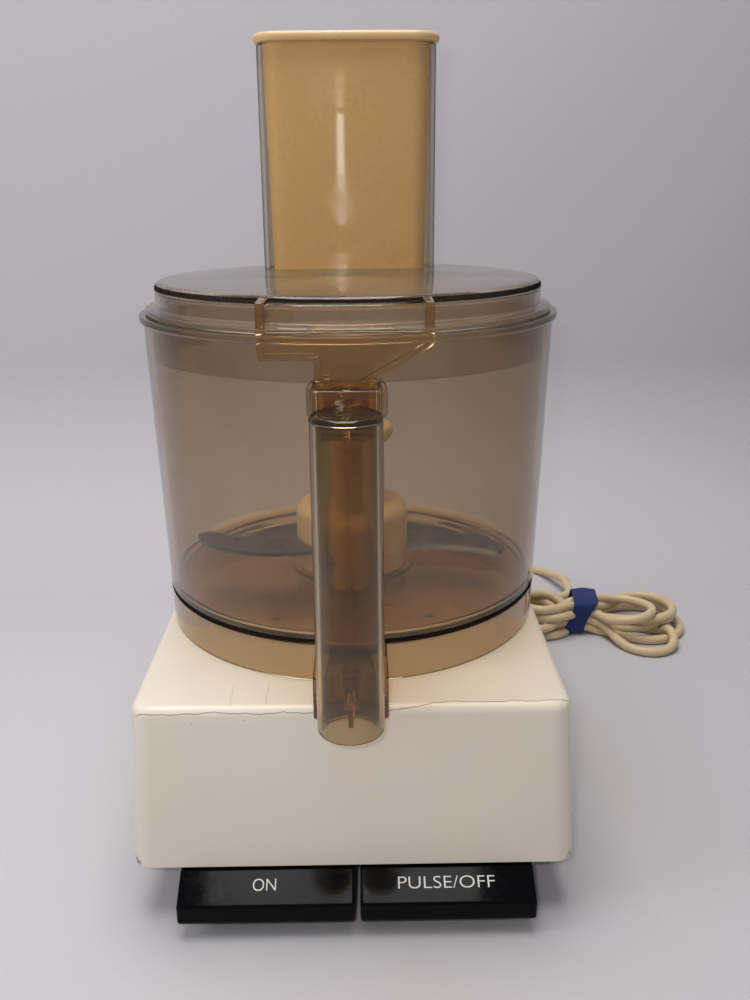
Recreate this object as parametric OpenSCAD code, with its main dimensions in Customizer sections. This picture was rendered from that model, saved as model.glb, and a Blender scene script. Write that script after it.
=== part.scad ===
// Countertop food processor: a motor base with two levers, a work bowl with a
// hollow handle, a two-bladed knife, a lid with a tall feed tube, and a pusher.
// Units are millimetres, +Z is up, the front of the machine faces -Y.
// The bowl's axis stands at x = 0, y = axis_y; the origin is the centre of the footprint.

/* [Base housing] */
// Margin from the bowl's foot to the front face
front_margin = 20.3; // [18:0.1:26]
// Margin from the bowl's foot to the back face
rear_margin = 37.4; // [32:0.1:48]
// Margin from the bowl's foot to each side, at deck height
side_margin = 1.5; // [1:0.1:12]
// How much each side leans outward from the deck down to the lower edge
side_lean = 4.5; // [0:0.5:8]
// Height of the painted housing
housing_h = 78.5; // [66:0.5:96]
// Wall thickness of the housing
housing_wall = 3; // [2:0.5:4]
// Radius of the housing's upright corners
corner_r = 9; // [6:0.5:16]
// Radius of the edge round the deck
edge_r = 4; // [2:0.5:6]

/* [Bottom pan and feet] */
// Height of a rubber foot
foot_h = 6; // [4:0.5:10]
// Radius of a rubber foot
foot_r = 11; // [8:0.5:14]
// Height of the pan below the housing
pan_h = 21; // [19:0.5:26]
// Thickness of the pan's floor and walls
pan_wall = 2.5; // [2:0.5:4]
// How far the pan stands in from the housing's sides and back
pan_inset = 9; // [6:0.5:14]
// How far the pan's front wall stands behind the front face
pan_setback = 27; // [24:0.5:34]

/* [Levers] */
// Width of the left lever
on_lever_w = 76.5; // [60:0.5:84]
// Width of the right lever
pulse_lever_w = 76; // [60:0.5:84]
// Gap between the two levers
lever_gap = 2.4; // [1.5:0.1:5]
// How far the levers stand out past the front face
lever_reach = 13.4; // [10:0.1:18]
// Height of a lever's front lip
lever_lip_h = 9.2; // [6:0.1:12]
// Radius of the pivot pin
lever_pin_r = 2; // [1.5:0.1:3]

/* [Motor] */
// Side of the square stator
stator_w = 92; // [80:1:104]
// Height of the stator's laminations
stator_h = 36; // [28:1:40]
// Radius of the rotor
rotor_r = 24; // [20:0.5:28]
// Air between rotor and stator
air_gap = 0.5; // [0.3:0.1:0.8]
// Height of a winding above or below the laminations
winding_h = 10; // [8:0.5:11]
// Radius of the motor shaft
shaft_r = 5; // [4:0.1:6]
// Outer radius of a bearing
bearing_r = 11; // [9:0.5:14]
// Thickness of a bearing bracket
bracket_t = 4; // [3:0.5:6]
// Radius of the cooling fan
fan_r = 38; // [30:1:42]
// Height of the cooling fan
fan_h = 8; // [6:0.5:9]

/* [Work bowl] */
// Outer radius of the bowl's foot
bowl_r = 91; // [78:0.5:110]
// Height from the bowl's foot to its floor
foot_drop = 21; // [18:0.5:28]
// Height from the bowl's floor to the top of its rim
bowl_h = 129; // [108:1:156]
// How much the radius grows from foot to rim
bowl_flare = 4.5; // [2:0.1:7]
// Wall thickness of the bowl
bowl_wall = 2.6; // [2:0.1:3.5]
// Thickness of the bowl's floor
floor_t = 3; // [2:0.1:4]
// Inner radius of the upright tube in the middle of the bowl
chimney_r = 10.5; // [9.5:0.1:12]
// Height of that tube above the floor
chimney_h = 40; // [30:1:46]
// How far the rim stands out past the wall
rim_out = 1.8; // [1:0.1:3]

/* [Handle] */
// Outer radius of the handle tube
handle_r = 13.4; // [12:0.1:16.1]
// Wall thickness of the handle tube
handle_wall = 2.4; // [1.8:0.1:3]
// Gap for the fingers between the bowl's foot and the handle tube
finger_gap = 22.6; // [20:0.1:30]
// How far the handle's lower end hangs below the deck
handle_drop = 0.5; // [0:0.5:6]
// Distance from the rim's top down to the handle tube's top
handle_below_rim = 22.7; // [20:0.1:28]

/* [Knife] */
// Radius of the knife hub's knob
knob_r = 28; // [25:0.5:32]
// Height of the knife hub above its foot
hub_h = 71; // [60:1:76]
// Radius of the hub's stem
stem_r = 16.5; // [16:0.1:18]
// Radius of the hub's top cap
cap_r = 20.7; // [18:0.1:24]
// Radius swept by the blade tips
sweep_r = 84; // [72:0.5:86]
// Thickness of a blade
blade_t = 1.8; // [1.2:0.1:2.5]
// Width of a blade at its root
blade_w = 27; // [20:0.5:32]

/* [Lid, feed tube and pusher] */
// Height of the lid above the bowl's rim
lid_h = 14.2; // [12:0.1:20]
// Wall thickness of the lid
lid_wall = 2.6; // [2:0.1:3.5]
// Depth of the lid's collar inside the bowl
collar_h = 18.5; // [14:0.5:24]
// Width of the feed tube
tube_w = 88.4; // [73:0.2:92]
// Depth of the feed tube, front to back
tube_d = 41; // [34:0.5:44]
// Height of the feed tube above the lid
tube_h = 106.3; // [88:0.1:128]
// Wall thickness of the feed tube
tube_wall = 2.3; // [2:0.1:3]
// Thickness of the pusher's rolled rim
rim_t = 4.3; // [3:0.1:6]
// Wall thickness of the pusher
pusher_wall = 2; // [1.5:0.1:3]

/* [Fits] */
// Radial clearance of a shaft or pin that turns in its bore
running_fit = 0.05; // [0.02:0.01:0.1]
// Clearance between pieces that lift or slide apart
slide_gap = 0.35; // [0.25:0.05:0.6]
// Clearance between the lid's collar and the bowl
collar_gap = 0.6; // [0.4:0.1:1]
// Clearance round the pusher at the tube's mouth
pusher_gap = 0.8; // [0.6:0.1:1.5]

/* [Hidden] */

// Levels, from the table upward
skirt_z = foot_h + pan_h;
deck_z = skirt_z + housing_h;
floor_z = deck_z + foot_drop;
rim_z = floor_z + bowl_h;
lid_z = rim_z + lid_h;
tube_z = lid_z + tube_h;
pan_floor_z = foot_h + pan_wall;
ceiling_z = deck_z - housing_wall;

// Plan positions, measured from the bowl's axis
front_y = -(bowl_r + front_margin);
rear_y = bowl_r + rear_margin;
handle_y = -(bowl_r + finger_gap + handle_r);
deck_half_w = bowl_r + side_margin;
housing_half_w = deck_half_w + side_lean;
axis_y = (-handle_y + handle_r - rear_y) / 2;
pan_front_y = front_y + pan_setback;
pan_rear_y = rear_y - pan_inset;
pan_half_w = housing_half_w - pan_inset;

// Radius of the bowl's outside at a given height, and its value at the rim
flare_rate = bowl_flare / (rim_z - deck_z);
function bowl_out(z) = bowl_r + flare_rate * (z - deck_z);
rim_wall_r = bowl_out(rim_z);

// Motor stack, hung from the underside of the deck
bracket_gap = 2;
fan_gap = 3;
upper_bracket_z = ceiling_z - bracket_gap - bracket_t;
stator_top_z = upper_bracket_z - bracket_gap - winding_h;
stator_z = stator_top_z - stator_h;
fan_z = stator_z - winding_h - fan_gap - fan_h;
lower_bracket_z = fan_z - bracket_gap - bracket_t;
bolt_r = 2;
bolt_at = stator_w / 2 - 8;
stator_corner_r = stator_w / 2 + 14;
bore_r = rotor_r + air_gap;
bearing_h = 8;
post_r = 4.5;
capacitor_r = 17;
capacitor_len = 72;
capacitor_y = stator_w / 2 + capacitor_r + 7;
capacitor_z = pan_floor_z + capacitor_r + 5;
terminal_x = 34;

// Drive: shaft, seal, collar and sleeve
collar_z = deck_z + 9;
seal_r = shaft_r + 4.5;
sleeve_r = shaft_r + 2.5;
sleeve_z = collar_z + 4;
hub_z = floor_z + 1.2;
hub_top_z = hub_z + hub_h;
sleeve_top_z = hub_top_z - 9;
drive_flat = 1.6;
lower_blade_z = hub_z + 3;
upper_blade_z = hub_z + 13;
hub_bore_z = hub_z + chimney_h + 3;
hub_bore_r = chimney_r + 2 + 1;

// Levers and switches
lever_x = 1.4;
on_x = [lever_x - lever_gap / 2 - on_lever_w, lever_x - lever_gap / 2];
pulse_x = [lever_x + lever_gap / 2, lever_x + lever_gap / 2 + pulse_lever_w];
lever_front_y = front_y - lever_reach;
lever_foot_z = 8.2;
lever_crease_z = lever_foot_z + lever_lip_h;
lever_top_z = skirt_z - 1.4;
pivot_y = front_y + 51;
pivot_z = skirt_z + 5;
lever_boss_r = lever_pin_r + 4;
plunger_y = pivot_y - 12.5;
plunger_r = 1.8;
switch_w = 10;
switch_d = 17;
switch_h = 13;
plate_t = 1.2;
lever_under_z = pivot_z - 6;
spring_y = pivot_y - 17;
on_mid = (on_x[0] + on_x[1]) / 2;
pulse_mid = (pulse_x[0] + pulse_x[1]) / 2;
spring_shift = 24;

// Interlock: rod in the handle, pin in the deck
pin_y = -(bowl_r + 9);
pin_r = 3.6;
pin_hole_r = pin_r + slide_gap;
pin_top_z = deck_z + 3;
pin_low_z = ceiling_z - 24;
shelf_z = pin_low_z - 15;
rod_t = 1.8;
rod_w = 8;
rod_travel = 3.6;
handle_top_z = rim_z - handle_below_rim;
handle_low_z = deck_z - handle_drop;
tab_low_z = handle_top_z - 5;
rod_top_z = tab_low_z - 0.3;
cam_y = -(rim_wall_r + rim_out + 1.4);
cam_depth = 5;
cam_t = 2.4;
box_z = handle_top_z + 5.5;
bridge_z = handle_top_z - 13;
guide_half_w = handle_r + 2;
foot_bridge_z = floor_z - 2;

// Bowl foot and lid
bowl_foot_z = deck_z + slide_gap;
lid_wall_r = rim_wall_r - 6;
lid_flange_r = rim_wall_r - 1.2;
collar_low_z = rim_z - collar_h;
collar_r = bowl_out(collar_low_z) - bowl_wall - collar_gap;

// Feed tube, measured from the bowl's axis
tube_back_r = bowl_r - lid_wall - 6;
tube_front_y = tube_back_r - tube_d;
tube_end_r = 12;
pusher_low_z = lid_z - lid_wall - 3;
pusher_draft = 2.2;

// Cord: diameter, gland and the route of its loose stretch, from the origin
cord_r = 3.15;
gland_x = 34;
gland_z = 44;
gland_out = 26;
hank_at = [163, 188];
hank_h = 21;
waist_w = 28;
waist_h = 25;
tie_w = 13;
tie_t = 1.2;
lobe_right = [42, 34];
lobe_left = [-31, 23];
cord_start_y = axis_y + rear_y + gland_out;
lead_points = [[34, cord_start_y, gland_z], [34, 172, 42], [35, 184, 37], [38, 198, 28],
               [43, 213, 18], [50, 229, 9], [59, 246, 4.5], [71, 264, 3.4], [87, 281, 3.2],
               [106, 294, 3.2], [125, 299, 3.2], [142, 294, 4], [154, 281, 6],
               [161, 265, 9], [165, 248, 12], [165, 232, 14], [160, 218, 15],
               [152, 207, 14]];
tail_points = [[112, 179, 8], [107, 174, 5], [100, 170, 3.4], [91, 169, 3.2], [84, 172, 3.4], [80, 178, 3.6]];
plug_at = [80, 178, 3.6];

// ---- Helpers ----

module on_axis() {
    translate([0, axis_y, 0]) children();
}

module tube(r_out, r_in, h, fn = 64) {
    difference() {
        cylinder(r = r_out, h = h, $fn = fn);
        translate([0, 0, -1]) cylinder(r = r_in, h = h + 2, $fn = fn);
    }
}

// A round puck with a rounded upper edge, used at the corners of the housing
module corner_puck(r, edge, h) {
    rotate_extrude($fn = 32)
        polygon(concat([[0, 0], [r, 0]],
                       [for (a = [0 : 15 : 90]) [r - edge + edge * cos(a), h - edge + edge * sin(a)]],
                       [[0, h]]));
}

// The housing's block, drawn in by a wall thickness all round
module housing_block(inset) {
    r = corner_r - inset;
    edge = max(edge_r - inset, 1);
    low_w = housing_half_w - inset - r;
    top_w = deck_half_w - inset - r;
    front = front_y + inset + r;
    rear = rear_y - inset - r;
    hull() {
        for (x = [-low_w, low_w], y = [front, rear])
            translate([x, y, skirt_z]) cylinder(r = r, h = 1, $fn = 32);
        for (x = [-top_w, top_w], y = [front, rear])
            translate([x, y, deck_z - inset - 8]) corner_puck(r, edge, 8);
    }
}

// A rounded rectangle as a straight-sided block
module pad(x0, x1, y0, y1, z, h, r) {
    translate([0, 0, z]) linear_extrude(h) union() {
        translate([x0 + r, y0]) square([x1 - x0 - 2 * r, y1 - y0]);
        translate([x0, y0 + r]) square([x1 - x0, y1 - y0 - 2 * r]);
        for (x = [x0 + r, x1 - r], y = [y0 + r, y1 - r])
            translate([x, y]) circle(r = r, $fn = 32);
    }
}

// ---- Base ----

foot_at = [for (x = [-1, 1], y = [0, 1])
           [x * (pan_half_w - foot_r - 4), y == 0 ? pan_front_y + foot_r + 4 : pan_rear_y - foot_r - 4]];
screw_at = [for (x = [-1, 1], y = [0, 1])
            [x * (pan_half_w - 10), y == 0 ? pan_front_y + 2.5 * foot_r + 13 : pan_rear_y - 2.5 * foot_r - 13]];

module housing() {
    color([0.86, 0.83, 0.77]) on_axis() {
        difference() {
            housing_block(0);
            difference() {
                housing_block(housing_wall);
                for (p = screw_at) translate([p[0], p[1], skirt_z])
                    cylinder(r = post_r, h = deck_z - skirt_z - 1, $fn = 32);
                for (x = [-bolt_at, bolt_at], y = [-bolt_at, bolt_at])
                    translate([x, y, upper_bracket_z + bracket_t]) cylinder(r = post_r, h = 12, $fn = 32);
                translate([0, pin_y, ceiling_z - 9]) cylinder(r = pin_hole_r + 2, h = 12, $fn = 32);
            }
            translate([-housing_half_w - 1, front_y - 1, skirt_z - 1])
                cube([2 * housing_half_w + 2, rear_y - front_y + 2, 1]);
            for (p = screw_at) translate([p[0], p[1], skirt_z - 1]) cylinder(r = 1.6, h = 16, $fn = 24);
            for (x = [-bolt_at, bolt_at], y = [-bolt_at, bolt_at])
                translate([x, y, upper_bracket_z]) cylinder(r = bolt_r, h = 10, $fn = 24);
            translate([0, 0, ceiling_z - 1]) cylinder(r = seal_r, h = housing_wall + 2, $fn = 64);
            translate([0, pin_y, ceiling_z - 10]) cylinder(r = pin_hole_r, h = 20, $fn = 32);
            translate([gland_x, rear_y + 1, gland_z]) rotate([90, 0, 0])
                cylinder(r = cord_r + 3, h = housing_wall + 6, $fn = 32);
        }
    }
}

module bottom_pan() {
    color([0.08, 0.08, 0.09]) on_axis() {
        difference() {
            pad(-pan_half_w, pan_half_w, pan_front_y, pan_rear_y, foot_h, pan_h, corner_r);
            difference() {
                pad(-pan_half_w + pan_wall, pan_half_w - pan_wall, pan_front_y + pan_wall,
                    pan_rear_y - pan_wall, pan_floor_z, pan_h, corner_r - pan_wall);
                for (p = screw_at)
                    translate([p[0], p[1], pan_floor_z - 1]) cylinder(r = post_r, h = pan_h, $fn = 32);
            }
            translate([on_x[0] - 2, pan_front_y - 1, pan_floor_z])
                cube([pulse_x[1] - on_x[0] + 4, pan_wall + 2, pan_h]);
            for (p = screw_at) translate([p[0], p[1], foot_h - 1]) {
                cylinder(r = 1.9, h = pan_h + 3, $fn = 24);
                cylinder(r = 3.6, h = pan_h - 4, $fn = 24);
            }
            for (p = foot_at) translate([p[0], p[1], foot_h - 1]) cylinder(r = 3, h = 10, $fn = 24);
            for (i = [-4 : 4]) translate([i * 12 - 2.5, 62, foot_h - 1]) cube([5, 34, 6]);
        }
    }
}

module rubber_feet() {
    color([0.12, 0.12, 0.12]) on_axis() for (p = foot_at) translate([p[0], p[1], 0]) {
        rotate_extrude($fn = 48)
            polygon([[0, 0], [foot_r - 1.5, 0], [foot_r, 1.5], [foot_r, foot_h], [3, foot_h],
                     [3, pan_floor_z], [3.8, pan_floor_z], [2.5, pan_floor_z + 2], [0, pan_floor_z + 2]]);
    }
}

module base_screws() {
    color([0.7, 0.7, 0.72]) on_axis() for (p = screw_at) translate([p[0], p[1], skirt_z - 5]) {
        cylinder(r = 1.6, h = 18, $fn = 24);
        translate([0, 0, -2.4]) difference() {
            cylinder(r = 3.3, h = 2.4, $fn = 24);
            for (a = [0, 90]) rotate([0, 0, a]) translate([-2, -0.4, -1]) cube([4, 0.8, 2]);
        }
    }
}

module deck_collar() {
    color([0.84, 0.80, 0.72]) on_axis() difference() {
        translate([0, 0, deck_z]) union() {
            cylinder(r = 30, h = 3, $fn = 96);
            cylinder(r = seal_r + 4, h = collar_z - deck_z, $fn = 64);
            for (a = [0 : 90 : 270]) rotate([0, 0, a + 45])
                translate([20, -3, 0]) cube([16, 6, 3]);
        }
        translate([0, 0, deck_z - 1]) cylinder(r = seal_r, h = collar_z - deck_z + 2, $fn = 64);
    }
}

module shaft_seal() {
    color([0.15, 0.15, 0.15]) on_axis() translate([0, 0, ceiling_z]) difference() {
        cylinder(r = seal_r, h = collar_z - ceiling_z - 2, $fn = 64);
        translate([0, 0, -1]) cylinder(r = shaft_r + slide_gap, h = collar_z, $fn = 64);
    }
}

module bearing_bracket(z) {
    translate([0, 0, z]) difference() {
        union() {
            intersection() {
                translate([-stator_w / 2, -stator_w / 2, 0]) cube([stator_w, stator_w, bracket_t]);
                cylinder(r = stator_corner_r, h = bracket_t, $fn = 96);
            }
            translate([0, 0, -bearing_h / 2 + bracket_t / 2]) cylinder(r = bearing_r + 3, h = bearing_h, $fn = 64);
        }
        translate([0, 0, -bearing_h]) cylinder(r = bearing_r, h = 3 * bearing_h, $fn = 64);
        for (a = [0 : 90 : 270]) rotate([0, 0, a]) translate([stator_w / 4 + 6, 0, -1])
            cylinder(r = 9, h = bracket_t + 2, $fn = 48);
        for (x = [-bolt_at, bolt_at], y = [-bolt_at, bolt_at])
            translate([x, y, -1]) cylinder(r = bolt_r, h = bracket_t + 2, $fn = 24);
    }
}

module upper_bracket() {
    color([0.75, 0.76, 0.78]) on_axis() bearing_bracket(upper_bracket_z);
}

module lower_bracket() {
    color([0.75, 0.76, 0.78]) on_axis() bearing_bracket(lower_bracket_z);
}

module bearings() {
    color([0.72, 0.6, 0.35]) on_axis() for (z = [upper_bracket_z, lower_bracket_z])
        translate([0, 0, z + bracket_t / 2 - bearing_h / 2]) tube(bearing_r, shaft_r + running_fit, bearing_h);
}

module stator_core() {
    color([0.45, 0.46, 0.48]) on_axis() translate([0, 0, stator_z]) difference() {
        intersection() {
            translate([-stator_w / 2, -stator_w / 2, 0]) cube([stator_w, stator_w, stator_h]);
            cylinder(r = stator_corner_r, h = stator_h, $fn = 96);
        }
        translate([0, 0, -1]) cylinder(r = bore_r, h = stator_h + 2, $fn = 96);
        for (x = [-bolt_at, bolt_at], y = [-bolt_at, bolt_at])
            translate([x, y, -1]) cylinder(r = bolt_r, h = stator_h + 2, $fn = 24);
    }
}

// One winding: a ring with rounded shoulders
module winding_ring() {
    shoulder = winding_h / 3;
    rotate_extrude($fn = 96)
        polygon([[bore_r + 2 + shoulder, 0], [stator_w / 2 - 4 - shoulder, 0],
                 [stator_w / 2 - 4, shoulder], [stator_w / 2 - 4, winding_h - shoulder],
                 [stator_w / 2 - 4 - shoulder, winding_h], [bore_r + 2 + shoulder, winding_h],
                 [bore_r + 2, winding_h - shoulder], [bore_r + 2, shoulder]]);
}

module stator_windings() {
    color([0.62, 0.32, 0.14]) on_axis() {
        translate([0, 0, stator_top_z]) winding_ring();
        translate([0, 0, stator_z - winding_h]) winding_ring();
    }
}

module motor_bolts() {
    color([0.7, 0.7, 0.72]) on_axis() for (x = [-bolt_at, bolt_at], y = [-bolt_at, bolt_at])
        translate([x, y, lower_bracket_z]) {
            cylinder(r = bolt_r, h = upper_bracket_z + bracket_t + 6 - lower_bracket_z, $fn = 24);
            translate([0, 0, -3]) cylinder(r = 3.6, h = 3, $fn = 6);
        }
}

module capacitor() {
    color([0.12, 0.12, 0.14]) on_axis() translate([-62, capacitor_y, capacitor_z]) rotate([0, 90, 0]) {
        cylinder(r = capacitor_r, h = capacitor_len, $fn = 64);
        for (y = [-5, 5]) translate([-0.5, y - 3, capacitor_len]) cube([1, 6, 7]);
    }
}

module capacitor_clip() {
    color([0.7, 0.7, 0.72]) on_axis() translate([-34, capacitor_y, capacitor_z]) rotate([0, 90, 0]) difference() {
        union() {
            cylinder(r = capacitor_r + 1, h = 14, $fn = 64);
            translate([0, -10, 0]) cube([capacitor_z - pan_floor_z, 20, 14]);
        }
        translate([0, 0, -1]) cylinder(r = capacitor_r, h = 16, $fn = 64);
    }
}

module terminal_block() {
    color([0.9, 0.88, 0.82]) on_axis() translate([terminal_x, capacitor_y - 8, pan_floor_z]) difference() {
        cube([32, 18, 14]);
        for (i = [0 : 2]) translate([6 + i * 10, 9, 6]) cylinder(r = 2.6, h = 9, $fn = 24);
    }
}

// ---- Switch gear ----

module switch_plate() {
    color([0.7, 0.7, 0.72]) on_axis()
        translate([on_mid - 12, plunger_y - switch_d / 2, pan_floor_z])
            cube([pulse_mid - on_mid + 24, switch_d, plate_t]);
}

module micro_switch(x) {
    z = pan_floor_z + plate_t;
    difference() {
        translate([x - switch_w / 2, plunger_y - switch_d / 2, z]) cube([switch_w, switch_d, switch_h - plate_t]);
        translate([x, plunger_y, pan_floor_z + switch_h - 5])
            cylinder(r = plunger_r + running_fit, h = 6, $fn = 32);
        for (y = [-5.5, 5.5]) translate([x - switch_w, plunger_y + y, z + 3]) rotate([0, 90, 0])
            cylinder(r = 1.2, h = 2 * switch_w, $fn = 24);
    }
}

module on_switch() {
    color([0.1, 0.1, 0.1]) on_axis() micro_switch(on_mid);
}

module pulse_switch() {
    color([0.1, 0.1, 0.1]) on_axis() micro_switch(pulse_mid);
}

module switch_plunger(x) {
    low_z = pan_floor_z + switch_h - 3.5;
    translate([x, plunger_y, low_z]) cylinder(r = plunger_r, h = lever_under_z - 0.3 - low_z, $fn = 32);
}

module on_plunger() {
    color([0.7, 0.15, 0.12]) on_axis() switch_plunger(on_mid);
}

module pulse_plunger() {
    color([0.7, 0.15, 0.12]) on_axis() switch_plunger(pulse_mid);
}

// A bent hanger under the deck with a shelf for the interlock switch and its spring
module interlock_bracket() {
    color([0.7, 0.7, 0.72]) on_axis() translate([-22, pin_y - 6, shelf_z - 1.5]) {
        cube([30, 12, 1.5]);
        cube([1.5, 12, ceiling_z - shelf_z + 1.5]);
        translate([0, 0, ceiling_z - shelf_z]) cube([10, 12, 1.5]);
    }
}

module interlock_switch() {
    color([0.1, 0.1, 0.1]) on_axis() translate([-20, pin_y - 6, shelf_z]) difference() {
        cube([12, 12, pin_low_z - 0.5 - shelf_z]);
        for (z = [3, 11]) translate([6, -1, z]) rotate([-90, 0, 0]) cylinder(r = 1.4, h = 14, $fn = 24);
    }
}

module lever_pins() {
    color([0.75, 0.76, 0.78]) on_axis() {
        translate([on_x[0] - 3, pivot_y, pivot_z]) rotate([0, 90, 0])
            cylinder(r = lever_pin_r, h = pulse_x[1] - on_x[0] + 6, $fn = 48);
        for (x = [on_x[0] - 3, on_x[1] + lever_gap / 2 - 0.8, pulse_x[1] + 1])
            translate([x, pivot_y - 3, pan_floor_z]) difference() {
                cube([x == on_x[1] + lever_gap / 2 - 0.8 ? 1.6 : 2, 6, pivot_z - pan_floor_z + 5]);
                translate([-1, 3, pivot_z - pan_floor_z]) rotate([0, 90, 0])
                    cylinder(r = lever_pin_r, h = 4, $fn = 48);
            }
    }
}

// A lever's side outline: a sloping face, an upright lip and an arm up to its pivot
module lever_outline() {
    polygon([[lever_front_y, lever_foot_z + 1.5], [lever_front_y, lever_crease_z - 0.8],
             [lever_front_y + 0.8, lever_crease_z], [front_y + 0.6, lever_top_z],
             [front_y + housing_wall + 2, lever_top_z], [front_y + 14, pivot_z + 1],
             [pivot_y, pivot_z + lever_boss_r - 0.2], [pivot_y, lever_under_z],
             [front_y + 16, lever_under_z], [front_y + 8, lever_foot_z + 6],
             [lever_front_y + 6, lever_foot_z], [lever_front_y + 1.5, lever_foot_z]]);
}

module lever(x0, x1) {
    difference() {
        union() {
            translate([x0, 0, 0]) rotate([90, 0, 90]) linear_extrude(x1 - x0) lever_outline();
            translate([x0, pivot_y, pivot_z]) rotate([0, 90, 0])
                cylinder(r = lever_boss_r, h = x1 - x0, $fn = 48);
        }
        translate([x0 - 1, pivot_y, pivot_z]) rotate([0, 90, 0])
            cylinder(r = lever_pin_r + running_fit, h = x1 - x0 + 2, $fn = 48);
        translate([x0 + 4, pivot_y - 22, pivot_z - 4]) cube([x1 - x0 - 8, 14, 12]);
    }
}

module on_lever() {
    color([0.02, 0.02, 0.03]) on_axis() lever(on_x[0], on_x[1]);
}

module pulse_lever() {
    color([0.02, 0.02, 0.03]) on_axis() lever(pulse_x[0], pulse_x[1]);
}

// A compression spring: wire swept along a helix, as one closed solid
module coil_spring(r, wire_r, h, turns) {
    sides = 6;
    rings = turns * 12;
    rise = h - 2 * wire_r;
    points = [for (i = [0 : rings], k = [0 : sides - 1])
              let (a = 360 * turns * i / rings, b = 360 * k / sides, d = r + wire_r * cos(b))
              [d * cos(a), d * sin(a), wire_r + rise * i / rings + wire_r * sin(b)]];
    skin = [for (i = [0 : rings - 1], k = [0 : sides - 1])
            let (n = (k + 1) % sides)
            [i * sides + k, i * sides + n, (i + 1) * sides + n, (i + 1) * sides + k]];
    start = [for (k = [sides - 1 : -1 : 0]) k];
    end = [for (k = [0 : sides - 1]) rings * sides + k];
    polyhedron(points = points, faces = concat(skin, [start, end]));
}

module lever_spring(x) {
    translate([x, spring_y, pan_floor_z]) coil_spring(3, 0.5, lever_under_z - pan_floor_z, 5);
}

module on_spring() {
    color([0.75, 0.76, 0.78]) on_axis() lever_spring(on_mid - spring_shift);
}

module pulse_spring() {
    color([0.75, 0.76, 0.78]) on_axis() lever_spring(pulse_mid + spring_shift);
}

module interlock_pin() {
    color([0.9, 0.88, 0.82]) on_axis() translate([0, pin_y, pin_low_z]) {
        cylinder(r = pin_r, h = pin_top_z - pin_low_z, $fn = 48);
        translate([-14, -4, 0]) cube([20, 8, 2]);
    }
}

module interlock_spring() {
    color([0.75, 0.76, 0.78]) on_axis() translate([0, pin_y, shelf_z])
        coil_spring(4, 0.5, pin_low_z - shelf_z, 5);
}

// ---- Rotor ----

module rotor_core() {
    color([0.5, 0.51, 0.53]) on_axis() translate([0, 0, stator_z]) tube(rotor_r, shaft_r, stator_h, 96);
}

module drive_shaft() {
    color([0.8, 0.8, 0.82]) on_axis() translate([0, 0, lower_bracket_z - 4])
        cylinder(r = shaft_r, h = sleeve_top_z - 8 - lower_bracket_z + 4, $fn = 64);
}

// The sleeve's section above the chimney has a flat that drives the hub
module drive_key(r, flat, z, h) {
    translate([0, 0, z]) difference() {
        cylinder(r = r, h = h, $fn = 64);
        translate([r - flat, -r - 1, -1]) cube([2 * r, 2 * r + 2, h + 2]);
    }
}

module drive_sleeve() {
    color([0.9, 0.87, 0.78]) on_axis() difference() {
        union() {
            translate([0, 0, sleeve_z]) cylinder(r = sleeve_r, h = hub_bore_z - 4 - sleeve_z, $fn = 64);
            drive_key(sleeve_r, drive_flat, hub_bore_z - 4, sleeve_top_z - hub_bore_z + 4);
        }
        translate([0, 0, sleeve_z - 1]) cylinder(r = shaft_r, h = sleeve_top_z - 8 - sleeve_z + 1, $fn = 64);
    }
}

module cooling_fan() {
    color([0.2, 0.2, 0.22]) on_axis() translate([0, 0, fan_z]) difference() {
        union() {
            cylinder(r = fan_r, h = 1.6, $fn = 96);
            cylinder(r = shaft_r + 4, h = fan_h, $fn = 48);
            for (a = [0 : 36 : 324]) rotate([0, 0, a])
                translate([shaft_r + 6, -0.8, 1]) cube([fan_r - shaft_r - 7, 1.6, fan_h - 1]);
        }
        translate([0, 0, -1]) cylinder(r = shaft_r, h = fan_h + 2, $fn = 64);
    }
}

// ---- Bowl ----

// The bowl's outer cone, grown or shrunk by an offset, for cutting pieces that meet it
module bowl_cone(extra) {
    translate([0, 0, bowl_foot_z]) cylinder(r1 = bowl_out(bowl_foot_z) + extra, r2 = rim_wall_r + extra,
                                            h = rim_z - bowl_foot_z, $fn = 180);
}

module work_bowl() {
    tube_r = chimney_r + 2;
    color([0.45, 0.36, 0.27, 0.5]) on_axis() rotate_extrude($fn = 180) polygon([
        [bowl_out(bowl_foot_z) - bowl_wall, bowl_foot_z], [bowl_out(bowl_foot_z), bowl_foot_z],
        [bowl_out(rim_z - 3.5), rim_z - 3.5], [rim_wall_r + rim_out, rim_z - 2.8],
        [rim_wall_r + rim_out, rim_z - 0.7], [rim_wall_r + rim_out - 0.7, rim_z],
        [rim_wall_r - bowl_wall, rim_z], [bowl_out(floor_z + 4) - bowl_wall, floor_z + 4],
        [bowl_out(floor_z) - bowl_wall - 3, floor_z],
        [31, floor_z], [30.5, floor_z + 0.9], [tube_r + 0.7, floor_z + 0.9],
        [tube_r, floor_z + 1.6], [tube_r - 0.6, floor_z + chimney_h],
        [chimney_r, floor_z + chimney_h], [chimney_r, floor_z - floor_t],
        [bowl_out(floor_z - floor_t) - bowl_wall, floor_z - floor_t]]);
}

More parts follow.
